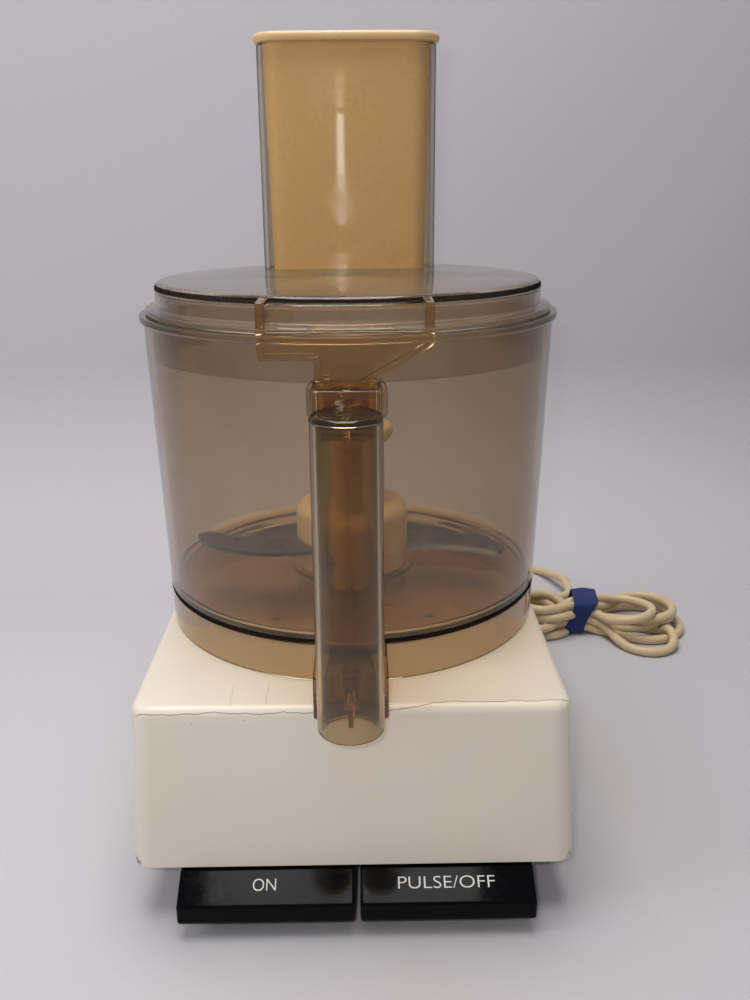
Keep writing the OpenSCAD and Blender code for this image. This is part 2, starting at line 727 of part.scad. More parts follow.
module bowl_handle() {
    inner_r = handle_r - handle_wall;
    slot_w = rod_t + 2 * slide_gap;
    slot_back = rod_w / 2 + slide_gap;
    color([0.42, 0.31, 0.2, 0.55]) on_axis() difference() {
        union() {
            translate([0, handle_y, handle_low_z]) cylinder(r = handle_r, h = handle_top_z - handle_low_z, $fn = 96);
            // Upper bridge, with the raised box that takes the lid's tab
            pad(-handle_r, handle_r, handle_y, -bowl_r + 3, bridge_z, handle_top_z - bridge_z, 1);
            pad(-handle_r, handle_r, handle_y + handle_r, -bowl_r + 3, bridge_z, box_z - bridge_z, 1);
            pad(-guide_half_w, guide_half_w, cam_y + 1.2, -bowl_r + 3, bridge_z + 6, box_z - bridge_z - 5.6, 1);
            // Lower bridge, over the interlock pin
            pad(-guide_half_w, guide_half_w, handle_y + 2, -bowl_r + 3, bowl_foot_z, foot_bridge_z - bowl_foot_z, 1);
        }
        bowl_cone(0);
        translate([0, handle_y, handle_low_z - 1])
            cylinder(r = inner_r, h = handle_top_z - handle_low_z - 1.4, $fn = 96);
        // Pocket for the tab, open at the top
        translate([-handle_r + 2, -rim_wall_r - 10.5, bridge_z + 3])
            cube([2 * handle_r - 4, 10.5 + 0.6, 40]);
        // Slots that the rod's two arms work in
        translate([-slot_w / 2, handle_y - slot_back, rod_top_z - rod_w - slide_gap])
            cube([slot_w, slot_back - handle_y - rim_wall_r, rod_w + 2 * slide_gap + rod_travel]);
        translate([-pin_r - 1.4, handle_y, bowl_foot_z - 1])
            cube([2 * pin_r + 2.8, pin_y - handle_y + pin_r + 1.4, 14]);
    }
}

// The rod: a thin strip down the handle with an arm to the tab and an arm to the pin
module interlock_rod() {
    low_z = pin_top_z + 0.3;
    color([0.5, 0.38, 0.24, 0.7]) on_axis() {
        translate([-rod_t / 2, handle_y - rod_w / 2, low_z]) cube([rod_t, rod_w, rod_top_z - low_z]);
        translate([-rod_t / 2, handle_y, rod_top_z - rod_w])
            cube([rod_t, cam_y + cam_depth - 3 - handle_y, rod_w]);
        translate([-rod_t / 2, handle_y, low_z]) cube([rod_t, pin_y - handle_y + 2, 5]);
    }
}

// ---- Knife ----

// A blade's plan outline: both edges follow the arc that the blade bends along
function blade_angle(r) = 34 - 40 * pow((r - 20) / (sweep_r - 20), 1.15);
function blade_half(r) = blade_w / 2 * (1 - 0.55 * pow((r - 20) / (sweep_r - 20), 3));
function blade_edge(side, r) =
    let (a = blade_angle(r), half = side * blade_half(r))
    [r * cos(a) - half * sin(a - 18), r * sin(a) + half * cos(a - 18)];

module blade_plate(z, turn) {
    steps = 16;
    inner = 20;
    radii = [for (i = [0 : steps]) inner + (sweep_r - 6 - inner) * i / steps];
    rotate([0, 0, turn]) translate([0, 0, z]) intersection() {
        linear_extrude(blade_t)
            polygon(concat([for (r = radii) blade_edge(-1, r)],
                           [for (i = [steps : -1 : 0]) blade_edge(1, radii[i])]));
        cylinder(r = sweep_r, h = blade_t, $fn = 96);
    }
}

module lower_blade() {
    color([0.75, 0.76, 0.78]) on_axis() blade_plate(lower_blade_z, 0);
}

module upper_blade() {
    color([0.75, 0.76, 0.78]) on_axis() blade_plate(upper_blade_z, 180);
}

module knife_hub() {
    knob_z = hub_z + 10;
    knob_top = hub_z + 32;
    color([0.85, 0.78, 0.6]) on_axis() difference() {
        rotate_extrude($fn = 96) polygon(concat(
            [[0, hub_z], [knob_r - 0.7, hub_z], [knob_r - 0.7, knob_z - 0.8], [knob_r, knob_z]],
            [for (a = [0 : 15 : 90]) [knob_r - 8 + 8 * cos(a), knob_top - 8 + 8 * sin(a)]],
            [[stem_r, knob_top + 1], [stem_r, hub_top_z - 9], [cap_r - 1.5, hub_top_z - 7],
             [cap_r, hub_top_z - 5.5], [cap_r, hub_top_z - 2], [cap_r - 2, hub_top_z], [0, hub_top_z]]));
        translate([0, 0, hub_z - 1]) cylinder(r = hub_bore_r, h = hub_bore_z - hub_z + 1, $fn = 96);
        drive_key(sleeve_r + slide_gap, drive_flat, hub_bore_z - 0.5, sleeve_top_z + 1 - hub_bore_z + 0.5);
        blade_plate(lower_blade_z, 0);
        blade_plate(upper_blade_z, 180);
    }
}

// ---- Lid ----

// The feed tube's section, drawn in or out by an offset
module tube_section(grow) {
    end_y = tube_front_y + tube_end_r;
    half = tube_w / 2 - tube_end_r;
    back_a = asin(half / (tube_back_r - tube_end_r));
    hull() {
        for (x = [-half, half]) translate([x, end_y]) circle(r = tube_end_r + grow, $fn = 48);
        for (a = [-back_a : back_a / 4 : back_a])
            translate([(tube_back_r - tube_end_r) * sin(a), (tube_back_r - tube_end_r) * cos(a)])
                circle(r = tube_end_r + grow, $fn = 48);
    }
}

module lid() {
    color([0.45, 0.36, 0.27, 0.45]) on_axis() difference() {
        rotate_extrude($fn = 180) polygon(concat(
            [[0, lid_z - lid_wall], [lid_wall_r - lid_wall, lid_z - lid_wall],
             [lid_wall_r - lid_wall, rim_z], [collar_r - lid_wall, rim_z - 2],
             [collar_r - lid_wall, collar_low_z], [collar_r, collar_low_z],
             [collar_r, rim_z + 0.3], [lid_flange_r, rim_z + 0.3], [lid_flange_r, rim_z + 2.6],
             [lid_wall_r, rim_z + 3.4]],
            [for (a = [0 : 15 : 90]) [lid_wall_r - 3 + 3 * cos(a), lid_z - 3 + 3 * sin(a)]],
            [[0, lid_z]]));
        translate([0, 0, lid_z - lid_wall - 1]) linear_extrude(lid_wall + 2) tube_section(-tube_wall);
    }
}

module feed_tube() {
    color([0.45, 0.36, 0.27, 0.45]) on_axis() difference() {
        translate([0, 0, lid_z]) linear_extrude(tube_h) tube_section(0);
        translate([0, 0, lid_z - 1]) linear_extrude(tube_h + 2) tube_section(-tube_wall);
    }
}

// The moulding on the lid's front: a stepped plate, its edge ribs and the tab
module cam_outline() {
    polygon([[-33.5, lid_z - 0.4], [-33.5, rim_z - 8], [-12, rim_z - 8], [-12, box_z + 0.8],
             [-8.5, box_z + 0.8], [-8.5, tab_low_z], [8.5, tab_low_z], [8.5, box_z + 0.8],
             [33.2, rim_z - 2.6],
             [33.2, lid_z - 0.4], [29.7, lid_z - 0.4], [29.7, rim_z + 3], [-30, rim_z + 3],
             [-30, lid_z - 0.4]]);
}

module cam_window() {
    polygon([[-30, rim_z], [-30, rim_z - 5], [-9, rim_z - 5], [-9, box_z + 3.8], [-5.5, box_z + 3.8],
             [-5.5, tab_low_z + 3], [5.5, tab_low_z + 3], [5.5, box_z + 3], [30, rim_z - 1.2], [30, rim_z]]);
}

module lid_cam() {
    color([0.72, 0.55, 0.34, 0.6]) on_axis() difference() {
        union() {
            intersection() {
                translate([0, cam_y, 0]) rotate([90, 0, 0]) linear_extrude(cam_depth) cam_outline();
                translate([-50, cam_y - cam_depth - 1, tab_low_z]) cube([100, cam_depth + 2, 60]);
            }
            for (x = [-33.5, 29.7]) translate([x, cam_y - 1, rim_z + 3.4])
                cube([3.5, -cam_y - lid_wall_r + 12, lid_z - 0.4 - rim_z - 3.4]);
        }
        translate([0, cam_y + 1, 0]) rotate([90, 0, 0]) linear_extrude(cam_depth + 1 - cam_t) cam_window();
        cylinder(r = lid_wall_r, h = lid_z + 1, $fn = 180);
    }
}

module pusher() {
    top = tube_z + slide_gap;
    color([0.83, 0.66, 0.42]) on_axis() {
        difference() {
            union() {
                hull() {
                    translate([0, 0, pusher_low_z])
                        linear_extrude(1) tube_section(-tube_wall - pusher_gap - pusher_draft);
                    translate([0, 0, top - 1]) linear_extrude(1) tube_section(-tube_wall - pusher_gap);
                }
                translate([0, 0, top]) linear_extrude(rim_t) tube_section(1.6);
            }
            hull() {
                translate([0, 0, pusher_low_z + pusher_wall])
                    linear_extrude(1) tube_section(-tube_wall - pusher_gap - pusher_draft - pusher_wall);
                translate([0, 0, top + rim_t])
                    linear_extrude(1) tube_section(-tube_wall - pusher_gap - pusher_wall);
            }
        }
    }
}

// ---- Cord ----

function unit(v) = v / norm(v);
function tangent(p, i) =
    i == 0 ? unit(p[1] - p[0])
    : i == len(p) - 1 ? unit(p[i] - p[i - 1])
    : unit(p[i + 1] - p[i - 1]);

// A round cord swept along hand-chosen points
module cord_tube(p, r) {
    sides = 8;
    last = len(p) - 1;
    points = [for (i = [0 : last]) let (t = tangent(p, i), s = unit(cross(t, [0.03, 0.02, 1])), u = cross(s, t))
              for (k = [0 : sides - 1]) let (a = 360 * k / sides) p[i] + r * (cos(a) * s + sin(a) * u)];
    skin = [for (i = [0 : last - 1], k = [0 : sides - 1]) let (n = (k + 1) % sides)
            [i * sides + n, i * sides + k, (i + 1) * sides + k, (i + 1) * sides + n]];
    polyhedron(points = points,
               faces = concat(skin, [[for (k = [0 : sides - 1]) k],
                                     [for (k = [sides - 1 : -1 : 0]) last * sides + k]]));
}

module cord_gland() {
    color([0.74, 0.64, 0.5]) on_axis() translate([gland_x, rear_y, gland_z]) rotate([-90, 0, 0]) {
        translate([0, 0, -housing_wall - 3]) cylinder(r = cord_r + 3, h = housing_wall + 3, $fn = 48);
        translate([0, 0, -housing_wall - 5]) cylinder(r = cord_r + 5, h = 2, $fn = 48);
        cylinder(r1 = cord_r + 3, r2 = cord_r + 0.8, h = gland_out, $fn = 48);
    }
}

module cord_lead() {
    color([0.74, 0.64, 0.5]) cord_tube(lead_points, cord_r);
}

module cord_tail() {
    color([0.74, 0.64, 0.5]) cord_tube(tail_points, cord_r);
}

module cord_hank() {
    color([0.74, 0.64, 0.5]) translate([hank_at[0], hank_at[1], 0]) {
        difference() {
            linear_extrude(hank_h) union() {
                translate([lobe_right[0], 0]) circle(r = lobe_right[1], $fn = 64);
                translate([lobe_left[0], 0]) circle(r = lobe_left[1], $fn = 64);
            }
            translate([-tie_w / 2 - 1, -50, -1]) cube([tie_w + 2, 100, hank_h + 2]);
        }
        translate([-20, -waist_w / 2, tie_t]) cube([45, waist_w, waist_h - tie_t]);
    }
}

module cord_tie() {
    color([0.07, 0.14, 0.34]) translate([hank_at[0] - tie_w / 2, hank_at[1] - waist_w / 2 - tie_t, 0])
        difference() {
            cube([tie_w, waist_w + 2 * tie_t, waist_h + tie_t]);
            translate([-1, tie_t, tie_t]) cube([tie_w + 2, waist_w, waist_h - tie_t]);
        }
}

module plug_body() {
    color([0.74, 0.64, 0.5]) translate(plug_at) rotate([0, 0, 20]) {
        translate([-9, 0, 4.4]) rotate([-90, 0, 0]) translate([9, 0, 0])
            cylinder(r1 = 5, r2 = 7.5, h = 12, $fn = 32);
        pad(-13, 13, 12, 34, -plug_at[2] + 0.4, 15, 4);
    }
}

module plug_blades() {
    color([0.8, 0.72, 0.45]) translate(plug_at) rotate([0, 0, 20])
        for (x = [-6.35, 6.35]) translate([x - 0.8, 34, 1.2]) cube([1.6, 17, 6.4]);
}

housing();
bottom_pan();
rubber_feet();
base_screws();
deck_collar();
shaft_seal();
upper_bracket();
lower_bracket();
bearings();
stator_core();
stator_windings();
motor_bolts();
capacitor();
capacitor_clip();
switch_plate();
on_switch();
pulse_switch();
interlock_switch();
interlock_bracket();
lever_pins();
on_spring();
pulse_spring();
interlock_spring();
terminal_block();
cord_gland();
cord_lead();
cord_hank();
cord_tie();
cord_tail();
plug_body();
plug_blades();
rotor_core();
drive_shaft();
drive_sleeve();
cooling_fan();
on_lever();
pulse_lever();
on_plunger();
pulse_plunger();
interlock_pin();
work_bowl();
bowl_handle();
interlock_rod();
knife_hub();
upper_blade();
lower_blade();
lid();
feed_tube();
lid_cam();
pusher();
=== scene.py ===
"""Looks of a countertop food processor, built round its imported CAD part.

Each sub-assembly is a class that reads its place from the CAD boxes, builds its
surfaces with numpy and dresses them. Lengths are in metres, +Z is up, the front of
the machine faces -Y and the origin is the centre of its footprint.
"""

import logging
import math
from dataclasses import dataclass, field
from enum import Enum
from typing import Sequence

import bpy
import numpy as np
from mathutils import Matrix, Vector
from mathutils.geometry import tessellate_polygon


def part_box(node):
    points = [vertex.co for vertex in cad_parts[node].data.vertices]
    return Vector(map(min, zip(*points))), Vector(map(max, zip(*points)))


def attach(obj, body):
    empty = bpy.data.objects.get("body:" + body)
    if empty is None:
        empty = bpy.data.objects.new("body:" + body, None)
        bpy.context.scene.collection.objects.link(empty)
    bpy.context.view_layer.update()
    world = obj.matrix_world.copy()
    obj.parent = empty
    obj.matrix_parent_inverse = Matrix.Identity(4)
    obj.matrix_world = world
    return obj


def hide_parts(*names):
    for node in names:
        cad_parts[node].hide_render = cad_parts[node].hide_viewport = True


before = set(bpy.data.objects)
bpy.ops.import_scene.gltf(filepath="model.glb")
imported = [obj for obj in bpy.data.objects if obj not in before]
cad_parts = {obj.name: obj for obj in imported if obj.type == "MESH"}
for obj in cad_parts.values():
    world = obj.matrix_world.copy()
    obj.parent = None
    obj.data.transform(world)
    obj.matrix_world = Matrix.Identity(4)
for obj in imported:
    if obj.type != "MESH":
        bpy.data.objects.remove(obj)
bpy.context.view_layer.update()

Array = np.ndarray
MM = 0.001
NEAR_AXIS = 0.05 * MM
CREASE_ANGLE = 38.0
UPRIGHT_TO_Y = ((1, 0, 0), (0, 0, 1), (0, -1, 0))
SWAP_X_Y = ((0, 1, 0), (1, 0, 0), (0, 0, 1))
LOG = logging.getLogger("food_processor")


# ---------------------------------------------------------------- surfaces


@dataclass
class Surface:
    """Points with quads and triangles over them.

    Attributes:
        points: n by 3 array of places.
        quads: m by 4 array of point numbers.
        tris: k by 3 array of point numbers.
    """

    points: Array
    quads: Array
    tris: Array = field(default_factory=lambda: np.zeros((0, 3), int))

    def moved(self, offset: Sequence[float]) -> "Surface":
        """The surface shifted by offset."""
        return Surface(self.points + np.array(offset, float), self.quads, self.tris)

    def turned(self, matrix: Array) -> "Surface":
        """The surface with each point multiplied by a 3 by 3 matrix."""
        return Surface(self.points @ np.array(matrix, float).T, self.quads, self.tris)


def turn_about_z(angle: float) -> list[list[float]]:
    """The 3 by 3 matrix of a turn about the upright axis."""
    c, s = math.cos(angle), math.sin(angle)
    return [[c, -s, 0], [s, c, 0], [0, 0, 1]]


def at_height(plan: Array, z: float) -> Array:
    """A flat outline's points, all at one height."""
    return np.concatenate([plan, np.full((len(plan), 1), z)], 1)


def join(parts: Sequence[Surface]) -> Surface:
    """Several surfaces as one.

    Args:
        parts: the surfaces.

    Returns:
        One surface, each part's point numbers shifted past those before it.
    """
    starts = np.concatenate([[0], np.cumsum([len(p.points) for p in parts])[:-1]])
    return Surface(
        np.concatenate([p.points for p in parts]),
        np.concatenate([p.quads + s for p, s in zip(parts, starts)]),
        np.concatenate([p.tris + s for p, s in zip(parts, starts)]),
    )


def loft(rings: Array, closed: bool = False) -> Surface:
    """A skin over rings of points.

    The point of ring i at step j joins its neighbours at i + 1 and j + 1, and j wraps
    round. An open loft is shut at both ends by a fan to the ring's mean point.

    Args:
        rings: m by n by 3 array.
        closed: True if the last ring joins the first.

    Returns:
        A closed surface.
    """
    m, n, _ = rings.shape
    i, j = np.meshgrid(np.arange(m if closed else m - 1), np.arange(n), indexing="ij")
    up, on = (i + 1) % m, (j + 1) % n
    quads = np.stack([i * n + j, i * n + on, up * n + on, up * n + j], -1).reshape(-1, 4)
    points = rings.reshape(-1, 3)
    if closed:
        return Surface(points, quads)
    k = np.arange(n)
    low = np.stack([np.full(n, m * n), (k + 1) % n, k], -1)
    high = np.stack([np.full(n, m * n + 1), (m - 1) * n + k, (m - 1) * n + (k + 1) % n], -1)
    ends = np.stack([rings[0].mean(0), rings[-1].mean(0)])
    return Surface(np.concatenate([points, ends]), quads, np.concatenate([low, high]))


def rounded(corners: Array, radii: Array | float, steps: int = 7) -> Array:
    """A closed outline with each corner turned into a circular arc.

    An arc is the rational quadratic from one tangent point to the other with the
    corner as its middle point, weighted by the sine of half the corner's angle.

    Args:
        corners: n by 2 array.
        radii: a radius for each corner, or one for all.
        steps: points on each arc.

    Returns:
        n * steps by 2 array.
    """
    p = np.asarray(corners, float)
    before, after = np.roll(p, 1, 0) - p, np.roll(p, -1, 0) - p
    la, lb = np.linalg.norm(before, axis=1), np.linalg.norm(after, axis=1)
    a, b = before / la[:, None], after / lb[:, None]
    half = np.arccos(np.clip((a * b).sum(1), -1, 1)) / 2
    reach = np.broadcast_to(np.asarray(radii, float), len(p)) / np.maximum(np.tan(half), 1e-6)
    reach = np.minimum(reach, 0.49 * np.minimum(la, lb))[:, None, None]
    u = np.linspace(0, 1, steps)[None, :, None]
    w = np.sin(half)[:, None, None]
    s, e, c = p[:, None] + a[:, None] * reach, p[:, None] + b[:, None] * reach, p[:, None]
    top = (1 - u) ** 2 * s + 2 * u * (1 - u) * w * c + u**2 * e
    return (top / ((1 - u) ** 2 + 2 * u * (1 - u) * w + u**2)).reshape(-1, 2)


def revolve(profile: Array, centre: Sequence[float] = (0, 0), segments: int = 160,
            solid: bool = False) -> Surface:
    """A profile of radius and height turned about an upright axis.

    The point at angle a is the centre plus radius times (cos a, sin a), at its height.

    Args:
        profile: n by 2 array, a closed outline, or from axis to axis if solid.
        centre: the axis's x and y.
        segments: steps round the axis.
        solid: True if the profile runs from near the axis back to near the axis.

    Returns:
        A closed surface.
    """
    a = np.linspace(0, 2 * np.pi, segments, endpoint=False)
    r, z = profile[:, :1], profile[:, 1:]
    rings = np.stack([centre[0] + r * np.cos(a), centre[1] + r * np.sin(a),
                      np.broadcast_to(z, (len(profile), segments))], -1)
    return loft(rings, closed=not solid)


def bore(radius: float, low: float, high: float, centre: Sequence[float], segments: int) -> Surface:
    """A closed upright cylinder, as a tool for a round hole."""
    profile = np.array([[NEAR_AXIS, low], [radius, low], [radius, high], [NEAR_AXIS, high]])
    return revolve(profile, centre, segments, solid=True)


@dataclass(frozen=True)
class Outline:
    """A convex outline that can be grown: a core point and an outward normal for each step.

    Attributes:
        core: n by 2 array of points on the inner polygon.
        normal: n by 2 array of unit vectors.
    """

    core: Array
    normal: Array

    @staticmethod
    def of(corners: Array, arc: int = 8, edge: int = 2) -> "Outline":
        """The outline round a convex polygon whose corners run anticlockwise.

        Each corner keeps its place while the normal turns from one edge's to the
        next's, and each edge keeps its normal while the place moves along it.

        Args:
            corners: n by 2 array.
            arc: steps of each turn.
            edge: extra steps along each edge.

        Returns:
            The outline.
        """
        p = np.asarray(corners, float)
        d = np.roll(p, -1, 0) - p
        ang = np.unwrap(np.arctan2(-d[:, 0], d[:, 1]))
        ang_in = np.concatenate([[ang[-1] - 2 * np.pi], ang[:-1]])
        t = np.linspace(0, 1, arc)
        turn = ang_in[:, None] + (ang - ang_in)[:, None] * t
        e = np.linspace(0, 1, edge + 2)[1:-1]
        core = np.concatenate([np.repeat(p[:, None], arc, 1),
                               p[:, None] + d[:, None] * e[None, :, None]], 1).reshape(-1, 2)
        angle = np.concatenate([turn, np.repeat(ang[:, None], edge, 1)], 1).ravel()
        return Outline(core, np.stack([np.cos(angle), np.sin(angle)], -1))

    def at(self, grow: float) -> Array:
        """The outline's points at a distance from its core."""
        return self.core + grow * self.normal


def edge_levels(z0: float, z1: float, r: float, steps: int = 6) -> Array:
    """Heights and insets of a block whose upper and lower edges are quarter circles.

    Args:
        z0: lower face.
        z1: upper face.
        r: radius of both edges.
        steps: points on each quarter.

    Returns:
        Array of (height, inset) rows from the bottom up.
    """
    a = np.linspace(0, np.pi / 2, steps)
    low = np.stack([z0 + r - r * np.cos(a), r - r * np.sin(a)], -1)
    high = np.stack([z1 - r + r * np.sin(a), r - r * np.cos(a)], -1)
    return np.concatenate([low, high])


def block(outline: Outline, radius: float, levels: Array) -> Surface:
    """A closed block: the outline at its radius less the inset of each level."""
    return loft(np.stack([at_height(outline.at(radius - inset), z) for z, inset in levels]))


def slab(x0: float, x1: float, y0: float, y1: float, z0: float, z1: float,
         corner: float, edge: float) -> Surface:
    """A rounded rectangular block between two corners, with its own corner and edge radius."""
    box = np.array([[x0 + corner, y0 + corner], [x1 - corner, y0 + corner],
                    [x1 - corner, y1 - corner], [x0 + corner, y1 - corner]])
    return block(Outline.of(box, 8), corner, edge_levels(z0, z1, edge))


def prism(outline: Array, x0: float, x1: float, edge: float) -> Surface:
    """An outline in Y and Z carried along X, its two ends eased by a small bevel.

    The end rings are drawn in along the outline's normals by the bevel, and each end
    is shut by triangles over its ring.

    Args:
        outline: n by 2 array of Y and Z.
        x0: first end.
        x1: last end.
        edge: bevel.

    Returns:
        A closed surface.
    """
    tangent = np.roll(outline, -1, 0) - np.roll(outline, 1, 0)
    normal = np.stack([tangent[:, 1], -tangent[:, 0]], -1)
    normal /= np.maximum(np.linalg.norm(normal, axis=1, keepdims=True), 1e-9)
    area = (outline[:, 0] * np.roll(outline[:, 1], -1) - np.roll(outline[:, 0], -1) * outline[:, 1]).sum()
    normal *= np.sign(area)
    a = np.linspace(0, np.pi / 2, 5)
    xs = np.concatenate([x0 + edge - edge * np.cos(a), x1 - edge + edge * np.sin(a)])
    inset = np.concatenate([edge - edge * np.sin(a), edge - edge * np.cos(a)])
    rings = outline[None] - normal[None] * inset[:, None, None]
    x = np.broadcast_to(xs[:, None, None], (len(xs), len(outline), 1))
    skin = loft(np.concatenate([x, rings], -1))
    flat = tessellate_polygon([[Vector((y, z, 0)) for y, z in rings[0]]])
    low = np.array([t for t in flat if len(set(t)) == 3])
    last = (len(xs) - 1) * len(outline)
    fan = np.cross(*(outline[low[:, k]] - outline[low[:, 0]] for k in (1, 2)))
    low[fan * area > 0] = low[fan * area > 0][:, ::-1]
    return Surface(skin.points[:-2], skin.quads, np.concatenate([low, low[:, ::-1] + last]))


def along(points: Array, per: int = 8) -> Array:
    """A smooth line through points, by the centripetal cubic through each four in turn."""
    p = np.asarray(points, float)
    p = np.concatenate([2 * p[:1] - p[1:2], p, 2 * p[-1:] - p[-2:-1]])
    a, b, c, d = p[:-3, None], p[1:-2, None], p[2:-1, None], p[3:, None]
    t = np.linspace(0, 1, per, endpoint=False)[None, :, None]
    line = 0.5 * (2 * b + (c - a) * t + (2 * a - 5 * b + 4 * c - d) * t**2 + (3 * b - a - 3 * c + d) * t**3)
    return np.concatenate([line.reshape(-1, p.shape[1]), p[-2:-1]])


def evenly(line: Array, step: float) -> Array:
    """A line's points placed again at an even distance along it."""
    s = np.concatenate([[0], np.cumsum(np.linalg.norm(np.diff(line, axis=0), axis=1))])
    at = np.linspace(0, s[-1], max(int(round(s[-1] / step)), 2) + 1)
    return np.stack([np.interp(at, s, line[:, k]) for k in range(line.shape[1])], -1)


def length_of(line: Array) -> float:
    """The length of a line of points."""
    return float(np.linalg.norm(np.diff(line, axis=0), axis=1).sum())


def sweep(line: Array, radius: Array | float, sides: int = 14) -> Surface:
    """A round tube along a line.

    Each ring stands across the line's direction: its first axis is level, the second
    is square to both.

    Args:
        line: n by 3 array.
        radius: one radius, or one for each point.
        sides: points round the tube.

    Returns:
        A closed surface.
    """
    t = np.gradient(line, axis=0)
    t /= np.linalg.norm(t, axis=1, keepdims=True)
    side = np.cross(t, [0.02, 0.015, 1.0])
    side /= np.linalg.norm(side, axis=1, keepdims=True)
    up = np.cross(side, t)
    a = np.linspace(0, 2 * np.pi, sides, endpoint=False)
    r = np.broadcast_to(np.asarray(radius, float), len(line))[:, None, None]
    rings = line[:, None] + r * (np.cos(a)[None, :, None] * side[:, None]
                                 + np.sin(a)[None, :, None] * up[:, None])
    return loft(rings)


def volume(s: Surface) -> float:
    """Signed volume: the sum over triangles of the triple product of their corners, over six."""
    tris = np.concatenate([s.quads[:, [0, 1, 2]], s.quads[:, [0, 2, 3]], s.tris])
    a, b, c = (s.points[tris[:, k]] for k in range(3))
    return float((a * np.cross(b, c)).sum() / 6)


def placed(name: str, data: bpy.types.ID) -> bpy.types.Object:
    """A new object of that name in the scene, holding a mesh, a curve, a light or a camera."""
    obj = bpy.data.objects.new(name, data)
    bpy.context.scene.collection.objects.link(obj)
    return obj


def baked(obj: bpy.types.Object) -> bpy.types.Mesh:
    """An object's shape as a new mesh, its modifiers applied."""
    bpy.context.view_layer.update()
    graph = bpy.context.evaluated_depsgraph_get()
    return bpy.data.meshes.new_from_object(obj.evaluated_get(graph))


def mesh_object(name: str, surface: Surface | Sequence[Surface],
                angle: float = CREASE_ANGLE) -> bpy.types.Object:
    """A mesh object from one or more closed surfaces, faces outward.

    Args:
        name: the piece's name.
        surface: a closed surface, or several that make one piece.
        angle: edges sharper than this many degrees stay sharp.

    Returns:
        The object, linked to the scene, at the origin.
    """
    parts = [surface] if isinstance(surface, Surface) else list(surface)
    parts = [p if volume(p) > 0 else Surface(p.points, p.quads[:, ::-1], p.tris[:, ::-1]) for p in parts]
    s = join(parts)
    mesh = bpy.data.meshes.new(name)
    loops = np.concatenate([s.quads.ravel(), s.tris.ravel()]).astype(np.int32)
    starts = np.concatenate([np.arange(len(s.quads)) * 4,
                             len(s.quads) * 4 + np.arange(len(s.tris)) * 3]).astype(np.int32)
    mesh.vertices.add(len(s.points))
    mesh.vertices.foreach_set("co", s.points.astype(np.float32).ravel())
    mesh.loops.add(len(loops))
    mesh.loops.foreach_set("vertex_index", loops)
    mesh.polygons.add(len(starts))
    mesh.polygons.foreach_set("loop_start", starts)
    mesh.update(calc_edges=True)
    mesh.validate()
    mesh.shade_smooth()
    mesh.set_sharp_from_angle(angle=math.radians(angle))
    return placed(name, mesh)


def cut(obj: bpy.types.Object, tools: Sequence[Surface]) -> bpy.types.Object:
    """Takes closed surfaces out of a mesh object, and keeps the result as its mesh."""
    for tool in tools:
        cutter = mesh_object(obj.name + "_cutter", tool)
        mod = obj.modifiers.new("cut", "BOOLEAN")
        mod.operation, mod.object, mod.solver = "DIFFERENCE", cutter, "EXACT"
        done = baked(obj)
        obj.modifiers.clear()
        obj.data = done
        bpy.data.objects.remove(cutter)
    obj.data.shade_smooth()
    obj.data.set_sharp_from_angle(angle=math.radians(CREASE_ANGLE))
    return obj


# ---------------------------------------------------------------- finishes


class Grain(Enum):
    """The small relief of a surface."""

    SMOOTH = "smooth"
    MOULDED = "moulded"
    PAINTED = "painted"
    BRUSHED = "brushed"
    WOVEN = "woven"
    DRAWN = "drawn"


